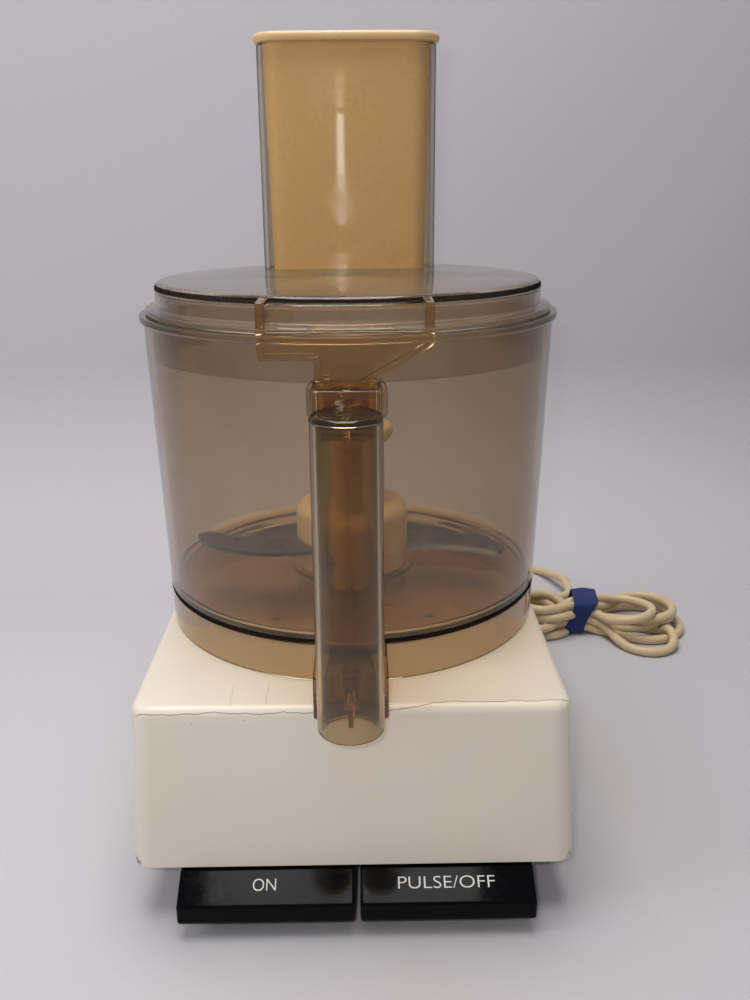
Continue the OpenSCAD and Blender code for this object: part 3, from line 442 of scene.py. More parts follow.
@dataclass(frozen=True)
class Finish:
    """An opaque finish.

    Attributes:
        name: the material's name.
        colour: linear base colour.
        rough: mean roughness.
        metal: metallic share.
        coat: clear coat share.
        grain: kind of relief.
        relief: depth of the relief in millimetres.
        vary: how much the roughness drifts over the surface.
        dirt: share of the dark, worn tint in the patches.
        dirt_colour: linear colour of those patches.
        specks: share of pale dust specks.
        subsurface: share of light that enters the material.
        shine: strength of the mirror reflection.
    """

    name: str
    colour: tuple[float, float, float]
    rough: float
    metal: float = 0.0
    coat: float = 0.0
    grain: Grain = Grain.MOULDED
    relief: float = 0.02
    vary: float = 0.12
    dirt: float = 0.15
    dirt_colour: tuple[float, float, float] = (0.12, 0.08, 0.045)
    specks: float = 0.0
    subsurface: float = 0.0
    shine: float = 0.5

    def build(self) -> bpy.types.Material:
        """The finish as a Blender material.

        Returns:
            The material, made once and shared.
        """
        found = bpy.data.materials.get(self.name + "_look")
        return found if found else self._make()

    def _make(self) -> bpy.types.Material:
        """Makes the node tree: mottled colour, drifting roughness and relief."""
        kit = Nodes(self.name)
        shader = kit.principled(self.colour, self.rough)
        shader.inputs["Metallic"].default_value = self.metal
        shader.inputs["Coat Weight"].default_value = self.coat
        shader.inputs["Coat Roughness"].default_value = 0.08
        shader.inputs["Specular IOR Level"].default_value = self.shine
        shader.inputs["Subsurface Weight"].default_value = self.subsurface
        shader.inputs["Subsurface Scale"].default_value = 0.004
        patches = kit.noise(38, 5, 0.62)
        fine = kit.noise(420, 3, 0.6)
        grime = kit.span(patches, 0.47, 0.8, 0.0, self.dirt)
        colour = kit.mix(grime, self.colour, self.dirt_colour)
        if self.specks:
            dots = kit.span(kit.cells(650), 0.13, 0.05, 0.0, self.specks)
            sparse = kit.span(kit.noise(95, 2, 0.5), 0.5, 0.66, 0.0, 1.0)
            colour = kit.mix(kit.times(dots, sparse), colour, (0.5, 0.48, 0.45))
        kit.link(colour, shader.inputs["Base Color"])
        drift = kit.plus(kit.span(patches, 0.3, 0.7, -self.vary, self.vary), self.rough)
        kit.link(kit.plus(drift, kit.span(fine, 0.35, 0.65, -0.03, 0.03)), shader.inputs["Roughness"])
        kit.link(kit.relief(self._height(kit, fine), self.relief * MM), shader.inputs["Normal"])
        return kit.done(shader)

    def _height(self, kit: "Nodes", fine: bpy.types.NodeSocket) -> bpy.types.NodeSocket:
        """The height field that the grain asks for."""
        if self.grain is Grain.BRUSHED:
            return kit.noise(300, 3, 0.7, stretch=(1, 1, 14))
        if self.grain is Grain.PAINTED:
            return kit.noise(760, 2, 0.5)
        if self.grain is Grain.WOVEN:
            return kit.wave(900)
        if self.grain is Grain.DRAWN:
            return kit.noise(4200, 1, 0.5, stretch=(0.02, 0.02, 1))
        return fine


@dataclass(frozen=True)
class ClearFinish:
    """A see-through moulding plastic.

    Attributes:
        name: the material's name.
        tint: linear colour that light keeps through one wall seen square on.
        edge: linear colour that it keeps through a wall seen along it.
        rough: roughness.
        haze: share of light that scuffs scatter.
        shade: linear colour of the light that passes in shadow.
        marks: depth of the scuff relief in millimetres.
    """

    name: str
    tint: tuple[float, float, float]
    edge: tuple[float, float, float]
    rough: float = 0.03
    haze: float = 0.04
    shade: tuple[float, float, float] = (0.7, 0.6, 0.5)
    marks: float = 0.01

    def build(self) -> bpy.types.Material:
        """The finish as a Blender material, made once and shared."""
        found = bpy.data.materials.get(self.name + "_look")
        return found if found else self._make()

    def _make(self) -> bpy.types.Material:
        """Makes the node tree: refraction tinted by angle, scuffs, any painted shade, and a tinted shadow."""
        kit = Nodes(self.name)
        shader = kit.principled(self.tint, self.rough)
        shader.inputs["Transmission Weight"].default_value = 1.0
        shader.inputs["IOR"].default_value = 1.5
        facing = kit.tree.nodes.new("ShaderNodeLayerWeight")
        facing.inputs["Blend"].default_value = 0.35
        tint = self._tinted(kit, kit.mix(facing.outputs["Facing"], self.tint, self.edge))
        kit.link(tint, shader.inputs["Base Color"])
        scratch = kit.span(kit.noise(210, 4, 0.75, stretch=(1, 1, 0.12)), 0.56, 0.7, 0.0, 1.0)
        cloud = kit.span(kit.noise(26, 4, 0.6), 0.42, 0.68, 0.0, 1.0)
        rough = kit.plus(kit.span(cloud, 0, 1, 0.0, self.rough * 2.5), self.rough)
        kit.link(rough, shader.inputs["Roughness"])
        kit.link(kit.relief(kit.noise(120, 3, 0.6), self.marks * MM), shader.inputs["Normal"])
        dust = kit.tree.nodes.new("ShaderNodeBsdfDiffuse")
        dust.inputs["Color"].default_value = (0.62, 0.55, 0.45, 1)
        worn = kit.math("MULTIPLY_ADD", scratch, self.haze * 0.8, self.haze * 0.5)
        worn = kit.math("MULTIPLY_ADD", cloud, self.haze * 0.7, worn)
        body = self._with_painted_shade(kit, kit.blend(worn, shader.outputs[0], dust.outputs[0]))
        shade = kit.tree.nodes.new("ShaderNodeBsdfTransparent")
        shade.inputs["Color"].default_value = (*self.shade, 1)
        path = kit.tree.nodes.new("ShaderNodeLightPath")
        soft = kit.math("MAXIMUM", path.outputs["Is Shadow Ray"], path.outputs["Is Diffuse Ray"])
        out = kit.blend(soft, body, shade.outputs[0])
        return kit.done_with(out)

    def _tinted(self, kit: "Nodes", tint: bpy.types.NodeSocket) -> bpy.types.NodeSocket:
        """The plastic's tint where painted shade deepens it; a plain wall keeps its own."""
        return tint

    def _with_painted_shade(self, kit: "Nodes", body: bpy.types.NodeSocket) -> bpy.types.NodeSocket:
        """The plastic's shader with any painted shade over it; a plain wall has none."""
        return body


class Nodes:
    """A small kit for building a material's node tree in object coordinates."""

    def __init__(self, name: str) -> None:
        """Starts an empty material called name."""
        self.material = bpy.data.materials.new(name + "_look")
        self.material.use_nodes = True
        self.tree = self.material.node_tree
        self.tree.nodes.clear()
        self.coords = self.tree.nodes.new("ShaderNodeTexCoord").outputs["Object"]

    def link(self, source: bpy.types.NodeSocket, target: bpy.types.NodeSocket) -> None:
        """Joins two sockets."""
        self.tree.links.new(source, target)

    def put(self, value: object, socket: bpy.types.NodeSocket) -> None:
        """Links a socket, or sets a number or colour on it."""
        if isinstance(value, bpy.types.NodeSocket):
            self.link(value, socket)
        elif isinstance(value, tuple) and len(value) == 3 and socket.type == "RGBA":
            socket.default_value = (*value, 1.0)
        else:
            socket.default_value = value

    def principled(self, colour: tuple[float, float, float], rough: float) -> bpy.types.Node:
        """A principled shader with a base colour and roughness."""
        node = self.tree.nodes.new("ShaderNodeBsdfPrincipled")
        node.inputs["Base Color"].default_value = (*colour, 1)
        node.inputs["Roughness"].default_value = rough
        return node

    def math(self, kind: str, a: object, b: object = 0.0, c: object = 0.0) -> bpy.types.NodeSocket:
        """One sum on up to three values."""
        node = self.tree.nodes.new("ShaderNodeMath")
        node.operation = kind
        for value, socket in zip((a, b, c), node.inputs):
            self.put(value, socket)
        return node.outputs[0]

    def plus(self, a: object, b: object) -> bpy.types.NodeSocket:
        """Two values added."""
        return self.math("ADD", a, b)

    def minus(self, a: object, b: object) -> bpy.types.NodeSocket:
        """The first value less the second."""
        return self.math("SUBTRACT", a, b)

    def times(self, a: object, b: object) -> bpy.types.NodeSocket:
        """Two values multiplied."""
        return self.math("MULTIPLY", a, b)

    def axes(self) -> tuple[bpy.types.NodeSocket, ...]:
        """The three object coordinates."""
        node = self.tree.nodes.new("ShaderNodeSeparateXYZ")
        self.link(self.coords, node.inputs[0])
        return tuple(node.outputs)

    def scaled(self, stretch: tuple[float, float, float]) -> bpy.types.NodeSocket:
        """Object coordinates times a number for each axis."""
        node = self.tree.nodes.new("ShaderNodeMapping")
        self.link(self.coords, node.inputs["Vector"])
        node.inputs["Scale"].default_value = stretch
        return node.outputs[0]

    def noise(self, scale: float, detail: float, rough: float,
              stretch: tuple[float, float, float] = (1, 1, 1)) -> bpy.types.NodeSocket:
        """Fractal noise with that many cells to the metre."""
        node = self.tree.nodes.new("ShaderNodeTexNoise")
        self.link(self.scaled(stretch), node.inputs["Vector"])
        node.inputs["Scale"].default_value = scale
        node.inputs["Detail"].default_value = detail
        node.inputs["Roughness"].default_value = rough
        return node.outputs["Fac"]

    def cells(self, scale: float) -> bpy.types.NodeSocket:
        """Distance to the nearest of scattered points."""
        node = self.tree.nodes.new("ShaderNodeTexVoronoi")
        self.link(self.coords, node.inputs["Vector"])
        node.inputs["Scale"].default_value = scale
        return node.outputs["Distance"]

    def wave(self, scale: float) -> bpy.types.NodeSocket:
        """Fine bands, as of a weave."""
        node = self.tree.nodes.new("ShaderNodeTexWave")
        self.link(self.coords, node.inputs["Vector"])
        node.inputs["Scale"].default_value = scale
        node.inputs["Distortion"].default_value = 1.5
        return node.outputs["Fac"]

    def span(self, value: object, a: float, b: float, low: float, high: float) -> bpy.types.NodeSocket:
        """Value from a to b taken smoothly to low to high."""
        node = self.tree.nodes.new("ShaderNodeMapRange")
        node.interpolation_type = "SMOOTHSTEP"
        for v, socket in zip((value, a, b, low, high), node.inputs):
            self.put(v, socket)
        return node.outputs[0]

    def mix(self, share: object, first: object, second: object) -> bpy.types.NodeSocket:
        """Two colours mixed."""
        node = self.tree.nodes.new("ShaderNodeMix")
        node.data_type = "RGBA"
        self.put(share, node.inputs["Factor"])
        self.put(first, node.inputs[6])
        self.put(second, node.inputs[7])
        return node.outputs[2]

    def relief(self, height: bpy.types.NodeSocket, depth: float) -> bpy.types.NodeSocket:
        """A normal bent by a height field of that depth."""
        node = self.tree.nodes.new("ShaderNodeBump")
        node.inputs["Strength"].default_value = 1.0
        node.inputs["Distance"].default_value = depth
        self.link(height, node.inputs["Height"])
        return node.outputs[0]

    def blend(self, share: object, first: bpy.types.NodeSocket,
              second: bpy.types.NodeSocket) -> bpy.types.NodeSocket:
        """Two shaders mixed."""
        node = self.tree.nodes.new("ShaderNodeMixShader")
        self.put(share, node.inputs[0])
        self.link(first, node.inputs[1])
        self.link(second, node.inputs[2])
        return node.outputs[0]

    def done(self, shader: bpy.types.Node) -> bpy.types.Material:
        """Ends the tree with a shader node."""
        return self.done_with(shader.outputs[0])

    def done_with(self, out: bpy.types.NodeSocket) -> bpy.types.Material:
        """Ends the tree with a shader socket."""
        end = self.tree.nodes.new("ShaderNodeOutputMaterial")
        self.link(out, end.inputs["Surface"])
        return self.material


@dataclass(frozen=True)
class CrackedPaint(Finish):
    """The housing's paint: cream, with a hairline crack along the deck's front edge.

    Attributes:
        deck_z: height of the deck.
        front_y: place of the front face.
        half_w: half width of the housing's lower edge.
        low_z: height of its lower edge.
        branches: how far left of the middle the crack's two branches leave it.
        crack_colour: linear colour in the crack.
        chip_colour: linear colour where the paint is gone.
    """

    deck_z: float = 0.0
    front_y: float = 0.0
    half_w: float = 0.0
    low_z: float = 0.0
    branches: tuple[float, float] = (46 * MM, 31 * MM)
    crack_colour: tuple[float, float, float] = (0.2, 0.14, 0.09)
    chip_colour: tuple[float, float, float] = (0.12, 0.09, 0.07)

    def _make(self) -> bpy.types.Material:
        """Makes the paint's node tree, its crack and its chipped lower corners."""
        kit = Nodes(self.name)
        shader = kit.principled(self.colour, self.rough)
        shader.inputs["Coat Weight"].default_value = self.coat
        shader.inputs["Coat Roughness"].default_value = 0.2
        x, y, z = kit.axes()
        behind = kit.minus(y, self.front_y)
        crack = self._crack(kit, x, behind, kit.minus(z, self.deck_z))
        chips = self._chips(kit, x, behind, kit.minus(z, self.low_z))
        dots = kit.span(kit.cells(170), 0.06, 0.03, 0.0, 1.0)
        specks = kit.times(dots, kit.span(kit.noise(33, 2, 0.5), 0.6, 0.66, 0.0, 0.8))
        yellowed = tuple(c * k for c, k in zip(self.colour, (0.97, 0.93, 0.86)))
        aged = kit.mix(kit.span(kit.noise(9, 4, 0.6), 0.35, 0.7, 0.0, 0.5), self.colour, yellowed)
        colour = kit.mix(kit.times(crack, 0.72), aged, self.crack_colour)
        colour = kit.mix(kit.math("MAXIMUM", chips, specks), colour, self.chip_colour)
        kit.link(colour, shader.inputs["Base Color"])
        rough = kit.span(kit.noise(24, 5, 0.6), 0.3, 0.7, self.rough - 0.08, self.rough + 0.1)
        kit.link(rough, shader.inputs["Roughness"])
        height = kit.minus(kit.times(kit.noise(700, 2, 0.5), 0.12), kit.math("MAXIMUM", crack, chips))
        kit.link(kit.relief(height, self.relief * MM), shader.inputs["Normal"])
        return kit.done(shader)

    def _crack(self, kit: Nodes, x: bpy.types.NodeSocket, behind: bpy.types.NodeSocket,
               over: bpy.types.NodeSocket) -> bpy.types.NodeSocket:
        """How much of a place is crack: a wandering line along the edge, and branches back from it.

        Args:
            kit: the material's nodes.
            x: the place across the housing.
            behind: its distance behind the front face.
            over: its height over the deck.

        Returns:
            A share from 0 to 1.
        """
        # it runs over the edge from the front face, below zero, onto the deck, above zero
        round_edge = kit.plus(over, behind)
        wander = kit.times(kit.minus(kit.noise(42, 4, 0.7, stretch=(1, 0, 0)), 0.5), 7 * MM)
        climb = kit.span(x, 10 * MM, 45 * MM, -2.2 * MM, 3.4 * MM)
        away = kit.math("ABSOLUTE", kit.minus(kit.minus(round_edge, wander), climb))
        line = kit.span(away, 0.12 * MM, 0.42 * MM, 1.0, 0.0)
        branch_x = kit.plus(x, kit.times(kit.noise(60, 3, 0.6, stretch=(0, 1, 0)), 9 * MM))
        first, second = (kit.math("ABSOLUTE", kit.plus(branch_x, off)) for off in self.branches)
        branch = kit.span(kit.math("MINIMUM", first, second), 0.08 * MM, 0.3 * MM, 0.45, 0.0)
        starts = kit.span(round_edge, 1 * MM, 4 * MM, 0.0, 1.0)
        fades = kit.span(round_edge, 14 * MM, 26 * MM, 1.0, 0.0)
        branch = kit.times(branch, kit.times(starts, fades))
        from_edge = kit.math("MINIMUM", behind, kit.minus(0.0, over))
        return kit.times(kit.math("MAXIMUM", line, branch), kit.span(from_edge, 1.5 * MM, 3 * MM, 1.0, 0.0))

    def _chips(self, kit: Nodes, x: bpy.types.NodeSocket, behind: bpy.types.NodeSocket,
               over: bpy.types.NodeSocket) -> bpy.types.NodeSocket:
        """How much of a place is chipped: spots at the two front lower corners.

        Args:
            kit: the material's nodes.
            x: the place across the housing.
            behind: its distance behind the front face.
            over: its height over the lower edge.

        Returns:
            A share from 0 to 1.
        """
        outer = kit.span(kit.math("ABSOLUTE", x), self.half_w - 5 * MM, self.half_w - 2 * MM, 0.0, 1.0)
        corner = kit.times(outer, kit.span(over, 2 * MM, 4.5 * MM, 1.0, 0.0))
        corner = kit.times(corner, kit.span(behind, 5 * MM, 9 * MM, 1.0, 0.0))
        return kit.times(corner, kit.span(kit.noise(520, 2, 0.5), 0.5, 0.56, 0.0, 1.0))


@dataclass(frozen=True)
class BandedClear(ClearFinish):
    """Clear plastic with a painted dark band round its front: painted shade where light runs out through an
    edge.

    Attributes:
        band_low: lower height of the band.
        band_high: upper height of it.
        band_r: radius that it starts at.
        axis_y: place of the axis that it runs round.
        floor: linear colour that light keeps over the floor, if there is one; a deeper tint painted in as
            shade.
    """

    band_low: float = 0.0
    band_high: float = 0.0
    band_r: float = 0.0
    axis_y: float = 0.0
    floor: tuple[float, float, float] | None = None

    def _reach(self, kit: Nodes) -> bpy.types.NodeSocket:
        """Distance from the axis."""
        x, y, _ = kit.axes()
        off = kit.minus(y, self.axis_y)
        return kit.math("SQRT", kit.plus(kit.times(x, x), kit.times(off, off)))

    def _tinted(self, kit: Nodes, tint: bpy.types.NodeSocket) -> bpy.types.NodeSocket:
        """The wall's tint, deepened over the floor as painted shade."""
        if self.floor is None:
            return tint
        z = kit.axes()[2]
        # painted shade: a deeper tint over the floor, inside the wall
        within = kit.span(self._reach(kit), self.band_r - 4 * MM, self.band_r - 2 * MM, 1.0, 0.0)
        near_floor = kit.span(z, self.band_high + 1 * MM, self.band_high + 3 * MM, 1.0, 0.0)
        return kit.mix(kit.times(within, near_floor), tint, self.floor)

    def _with_painted_shade(self, kit: Nodes, body: bpy.types.NodeSocket) -> bpy.types.NodeSocket:
        """The plastic with the dark band of painted shade over its outer face, fading out behind the axis."""
        _, y, z = kit.axes()
        soft = 0.3 * MM
        over = kit.span(z, self.band_low, self.band_low + soft, 0.0, 1.0)
        under = kit.span(z, self.band_high - soft, self.band_high, 1.0, 0.0)
        outer = kit.span(self._reach(kit), self.band_r - 0.5 * MM, self.band_r, 0.0, 1.0)
        in_front = kit.span(kit.minus(y, self.axis_y), -2 * MM, 14 * MM, 0.96, 0.0)
        share = kit.times(kit.times(over, under), kit.times(outer, in_front))
        # painted shade: a near-black diffuse band stands in for the dark edge line of the clear plastic
        dark = kit.tree.nodes.new("ShaderNodeBsdfDiffuse")
        dark.inputs["Color"].default_value = (0.012, 0.007, 0.004, 1)
        return kit.blend(share, body, dark.outputs[0])


SMOKE = ClearFinish("smoke_clear", (0.715, 0.62, 0.50), (0.34, 0.25, 0.17), haze=0.03,
                    shade=(0.84, 0.78, 0.68))
TUBE_SMOKE = ClearFinish("smoke_clear_tube", (0.86, 0.79, 0.66), (0.27, 0.20, 0.14), haze=0.02,
                         shade=(0.98, 0.94, 0.84), marks=0.002)
LID_SMOKE = ClearFinish("smoke_clear_lid", (0.77, 0.68, 0.57), (0.30, 0.23, 0.16), haze=0.045,
                        shade=(0.84, 0.78, 0.68), marks=0.02)
HANDLE_SMOKE = ClearFinish("smoke_clear_handle", (0.69, 0.565, 0.335), (0.12, 0.08, 0.05), haze=0.012,
                           shade=(0.78, 0.66, 0.5))
AMBER = ClearFinish("amber_clear", (0.84, 0.66, 0.40), (0.22, 0.12, 0.045), rough=0.015, haze=0.02,
                    shade=(0.85, 0.72, 0.5))
ROD = ClearFinish("rod_clear", (0.78, 0.68, 0.44), (0.38, 0.29, 0.15), haze=0.05)
GLOSS_BLACK = Finish("black_gloss", (0.0022, 0.0022, 0.003), 0.13, relief=0.006, vary=0.04,
                     dirt=0.25, dirt_colour=(0.006, 0.0055, 0.007), specks=0.05, shine=0.09)
MATTE_BLACK = Finish("black_matte", (0.012, 0.012, 0.014), 0.55, relief=0.05, specks=0.2)
RUBBER = Finish("foot_rubber", (0.02, 0.02, 0.021), 0.72, relief=0.05, dirt=0.4,
                dirt_colour=(0.08, 0.07, 0.06))
WORD_WHITE = Finish("word_white", (0.72, 0.70, 0.66), 0.5, relief=0.005, dirt=0.25)
TAN = Finish("tan_plastic", (0.66, 0.46, 0.232), 0.3, grain=Grain.DRAWN, relief=0.012, vary=0.03, dirt=0.12,
             dirt_colour=(0.46, 0.27, 0.11), subsurface=0.1)
CREAM = Finish("hub_plastic", (0.72, 0.56, 0.34), 0.4, relief=0.02, dirt=0.2, dirt_colour=(0.4, 0.27, 0.14),
               subsurface=0.15)
SLEEVE = Finish("sleeve_plastic", (0.7, 0.66, 0.55), 0.42)
BLADE = Finish("blade_steel", (0.17, 0.17, 0.178), 0.3, metal=1.0, grain=Grain.BRUSHED, relief=0.02,
               dirt_colour=(0.3, 0.27, 0.24))
ZINC = Finish("zinc_steel", (0.55, 0.56, 0.58), 0.35, metal=1.0, dirt_colour=(0.25, 0.22, 0.18))
IRON = Finish("motor_steel", (0.22, 0.22, 0.23), 0.45, metal=0.9, grain=Grain.BRUSHED, dirt=0.3)
COPPER = Finish("copper_wire", (0.55, 0.22, 0.08), 0.35, metal=0.9, grain=Grain.WOVEN, relief=0.3, dirt=0.3)
ALLOY = Finish("bracket_alloy", (0.6, 0.61, 0.62), 0.42, metal=0.9, relief=0.06)
BRONZE = Finish("bronze", (0.5, 0.33, 0.14), 0.35, metal=1.0)
SWITCH = Finish("switch_plastic", (0.02, 0.02, 0.022), 0.5)
RED = Finish("red_plastic", (0.45, 0.03, 0.02), 0.4)
BLOCK = Finish("block_plastic", (0.75, 0.72, 0.64), 0.45)
VINYL = Finish("cord_vinyl", (0.62, 0.48, 0.29), 0.42, relief=0.06, vary=0.08, dirt=0.35,
               dirt_colour=(0.25, 0.17, 0.09), subsurface=0.05)
TIE = Finish("tie_cloth", (0.006, 0.022, 0.13), 0.62, grain=Grain.WOVEN, relief=0.08, dirt=0.2,
             dirt_colour=(0.01, 0.02, 0.06))
BRASS = Finish("plug_brass", (0.66, 0.5, 0.24), 0.28, metal=1.0, dirt=0.3)

CAD_FINISHES: dict[Finish, tuple[str, ...]] = {
    MATTE_BLACK: ("bottom_pan", "cooling_fan"),
    RUBBER: ("rubber_feet", "shaft_seal"),
    ZINC: ("base_screws", "motor_bolts", "capacitor_clip", "switch_plate", "interlock_bracket", "lever_pins",
           "on_spring", "pulse_spring", "interlock_spring"),
    SLEEVE: ("drive_sleeve", "deck_collar"),
    ALLOY: ("upper_bracket", "lower_bracket"),
    BRONZE: ("bearings",),
    IRON: ("stator_core", "rotor_core"),
    BLADE: ("drive_shaft",),
    COPPER: ("stator_windings",),
    SWITCH: ("on_switch", "pulse_switch", "interlock_switch", "capacitor"),
    RED: ("on_plunger", "pulse_plunger"),
    BLOCK: ("terminal_block", "interlock_pin"),
    BRASS: ("plug_blades",),
}


def dress(obj: bpy.types.Object, finish: Finish | ClearFinish, body: str, slot: str,
          *stands_for: str) -> bpy.types.Object:
    """Gives a finished piece its material and its body, and hides the CAD nodes that it stands for.

    Args:
        obj: the piece.
        finish: its finish.
        body: the CAD body it rides on.
        slot: the record's material slot; not used.
        stands_for: CAD nodes that it replaces.

    Returns:
        The piece.
    """
    obj.data.materials.clear()
    obj.data.materials.append(finish.build())
    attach(obj, body)
    if stands_for:
        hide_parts(*stands_for)
    LOG.info("%s rides on %s, %d faces", obj.name, body, len(obj.data.polygons))
    return obj


def finish_node(node: str, finish: Finish | ClearFinish) -> None:
    """Gives a CAD node's own mesh a finish."""
    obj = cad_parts[node]
    obj.data.materials.clear()
    obj.data.materials.append(finish.build())
    LOG.info("%s keeps its CAD mesh", node)


def box(node: str) -> Array:
    """A CAD node's box as a 2 by 3 array."""
    return np.array([list(c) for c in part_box(node)])


# ---------------------------------------------------------------- base


@dataclass
class Housing:
    """The painted shell of the base.

    Attributes:
        lean: how far the deck's edge stands in from the lower edge.
        corner: radius of the upright corners.
        edge: radius of the edge round the deck.
        wall: wall thickness.
        straight: height of the upright band under the deck.
    """

    lean: float = 4.5 * MM
    corner: float = 9 * MM
    edge: float = 4 * MM
    wall: float = 3 * MM
    straight: float = 8 * MM

    def ring(self, z: float, inset: float, half_w: float) -> Array:
        """The shell's outline at one height, drawn in by inset."""
        lo, hi = box("housing")
        c = self.corner
        core = np.array([[-half_w + c, lo[1] + c], [half_w - c, lo[1] + c],
                         [half_w - c, hi[1] - c], [-half_w + c, hi[1] - c]])
        return at_height(Outline.of(core, 12, 6).at(c - inset), z)

    def build(self) -> bpy.types.Object:
        """The shell: outer skin up to the deck, inner skin up to the ceiling, one closed surface.

        Returns:
            The housing piece.
        """
        lo, hi = box("housing")
        low_w, top_w = hi[0], hi[0] - self.lean
        knee, ceiling = hi[2] - self.straight, hi[2] - self.wall
        ease, lip = 4 * MM, 0.8 * MM
        inner = [self.ring(ceiling, self.wall + ease, top_w), self.ring(ceiling - ease, self.wall, top_w),
                 self.ring(knee, self.wall, top_w), self.ring(lo[2] + 0.3 * MM, self.wall, low_w)]
        outer = [self.ring(lo[2], self.wall - 0.5 * MM, low_w), self.ring(lo[2], lip, low_w),
                 self.ring(lo[2] + lip, 0, low_w), self.ring(knee, 0, top_w)]
        upper = [self.ring(hi[2] - self.edge + self.edge * math.sin(t), self.edge - self.edge * math.cos(t),
                           top_w) for t in np.linspace(0, np.pi / 2, 9)]
        obj = mesh_object("housing_shell", loft(np.stack(inner + outer + upper)))
        seal, pin, gland = box("shaft_seal"), box("interlock_pin"), box("cord_gland")
        below, above, pin_hole = 0.095, 0.115, 4 * MM
        tools = [bore((seal[1, 0] - seal[0, 0]) / 2, below, above, seal.mean(0)[:2], 48),
                 bore(pin_hole, below, above, (0.0, pin[1, 1] - pin_hole), 48)]
        centre = gland.mean(0)
        cord_hole = bore(6.2 * MM, -0.02, 0.02, (0, 0), 40).turned(UPRIGHT_TO_Y)
        tools.append(cord_hole.moved((centre[0], hi[1], centre[2])))
        return cut(obj, tools)

    def dress(self) -> None:
        """Paints the shell."""
        lo, hi = box("housing")
        paint = CrackedPaint("cream_paint", (0.74, 0.68, 0.585), 0.36, coat=0.12, grain=Grain.PAINTED,
                             relief=0.12, deck_z=hi[2], front_y=lo[1], half_w=hi[0],
                             low_z=lo[2])
        dress(self.build(), paint, "base", "cream_paint", "housing")


@dataclass
class Lever:
    """One of the two rocking levers, with its printed word.

    Attributes:
        node: the CAD node it stands for.
        word: the print on its sloping face.
        width: length of the print.
        lip: height of its front face.
        boss: radius of the boss round its pin.
        pin_r: radius of the pin's bore.
    """

    node: str
    word: str
    width: float
    lip: float = 9.2 * MM
    boss: float = 6 * MM
    pin_r: float = 2.05 * MM

    def slope(self) -> tuple[Array, Array]:
        """The lower and the upper edge of the sloping face, in Y and Z."""
        lo, (front, skirt) = box(self.node)[0], box("housing")[0, 1:]
        return np.array([lo[1], lo[2] + self.lip]), np.array([front + 0.8 * MM, skirt - 1.4 * MM])

    def pivot(self) -> Array:
        """The pin's middle, in Y and Z."""
        return box(self.node)[1, 1:] - self.boss

    def outline(self) -> Array:
        """The lever's side outline in Y and Z, from its lip round over the arm to the pivot."""
        (front, foot), (py, pz) = box(self.node)[0, 1:], self.pivot()
        low, high = self.slope()
        face, under = box("housing")[0, 1], high[1]
        up, down = pz + self.boss, pz - self.boss
        corners = np.array([[front, foot], low, high, [face + 5 * MM, under], [face + 14 * MM, pz + 1 * MM],
                            [py, up], [py + self.boss, up], [py + self.boss, down], [face + 16 * MM, down],
                            [face + 8 * MM, foot + 6 * MM], [front + 6 * MM, foot]])
        radii = np.array([2, 2, 0.4, 2, 3, 5, 5.9, 5.9, 3, 3, 1]) * MM
        return rounded(corners, radii, 9)[::-1]

    def build(self) -> bpy.types.Object:
        """The lever's outline carried across its width, with its pin's bore."""
        lo, hi = box(self.node)
        obj = mesh_object(self.node + "_shell", prism(self.outline(), lo[0], hi[0], 1.3 * MM))
        t = np.linspace(0, 2 * np.pi, 32, endpoint=False)
        py, pz = self.pivot()
        pin = np.stack([py + self.pin_r * np.cos(t), pz + self.pin_r * np.sin(t)], -1)
        return cut(obj, [prism(pin, lo[0] - 0.01, hi[0] + 0.01, 0.1 * MM)])

    def print_word(self) -> bpy.types.Object:
        """The word as thin raised letters lying on the sloping face."""
        lo, hi = box(self.node)
        low, high = self.slope()
        slope = math.atan2(high[1] - low[1], high[0] - low[0])
        curve = bpy.data.curves.new(self.node + "_word", "FONT")
        curve.body, curve.size, curve.extrude = self.word, 7.7 * MM, 0.06 * MM
        curve.offset = -0.09 * MM
        curve.align_x, curve.align_y = "CENTER", "CENTER"
        letters = placed(self.node + "_word_curve", curve)
        mesh = baked(letters)
        bpy.data.objects.remove(letters)
        co = np.zeros(len(mesh.vertices) * 3, np.float32)
        mesh.vertices.foreach_get("co", co)
        co = co.reshape(-1, 3)
        co[:, 0] *= self.width / np.ptp(co[:, 0])
        mid = low + (high - low) * 0.56
        c, s = math.cos(slope), math.sin(slope)
        laid = np.stack([co[:, 0] + (lo[0] + hi[0]) / 2 - 0.8 * MM, mid[0] + co[:, 1] * c - co[:, 2] * s,
                         mid[1] + co[:, 1] * s + co[:, 2] * c], -1)
        mesh.vertices.foreach_set("co", laid.astype(np.float32).ravel())
        mesh.update()
        return placed(self.node + "_word", mesh)

    def dress(self) -> None:
        """Gives the lever its gloss and the word its print."""
        dress(self.build(), GLOSS_BLACK, self.node, "black_gloss", self.node)
        dress(self.print_word(), WORD_WHITE, self.node, "cream_paint")


# ---------------------------------------------------------------- cord


@dataclass(frozen=True)
class Fold:
    """One fold of the cord: the arc's centre, radius and height, in millimetres."""

    x: float
    y: float
    r: float
    z: float

    def arc(self, start: float, end: float, count: int = 6) -> Array:
        """Points round the fold from one angle to another, in degrees."""
        a = np.radians(np.linspace(start, end, count))
        return at_height(np.stack([self.x + self.r * np.cos(a), self.y + self.r * np.sin(a)], -1), self.z)


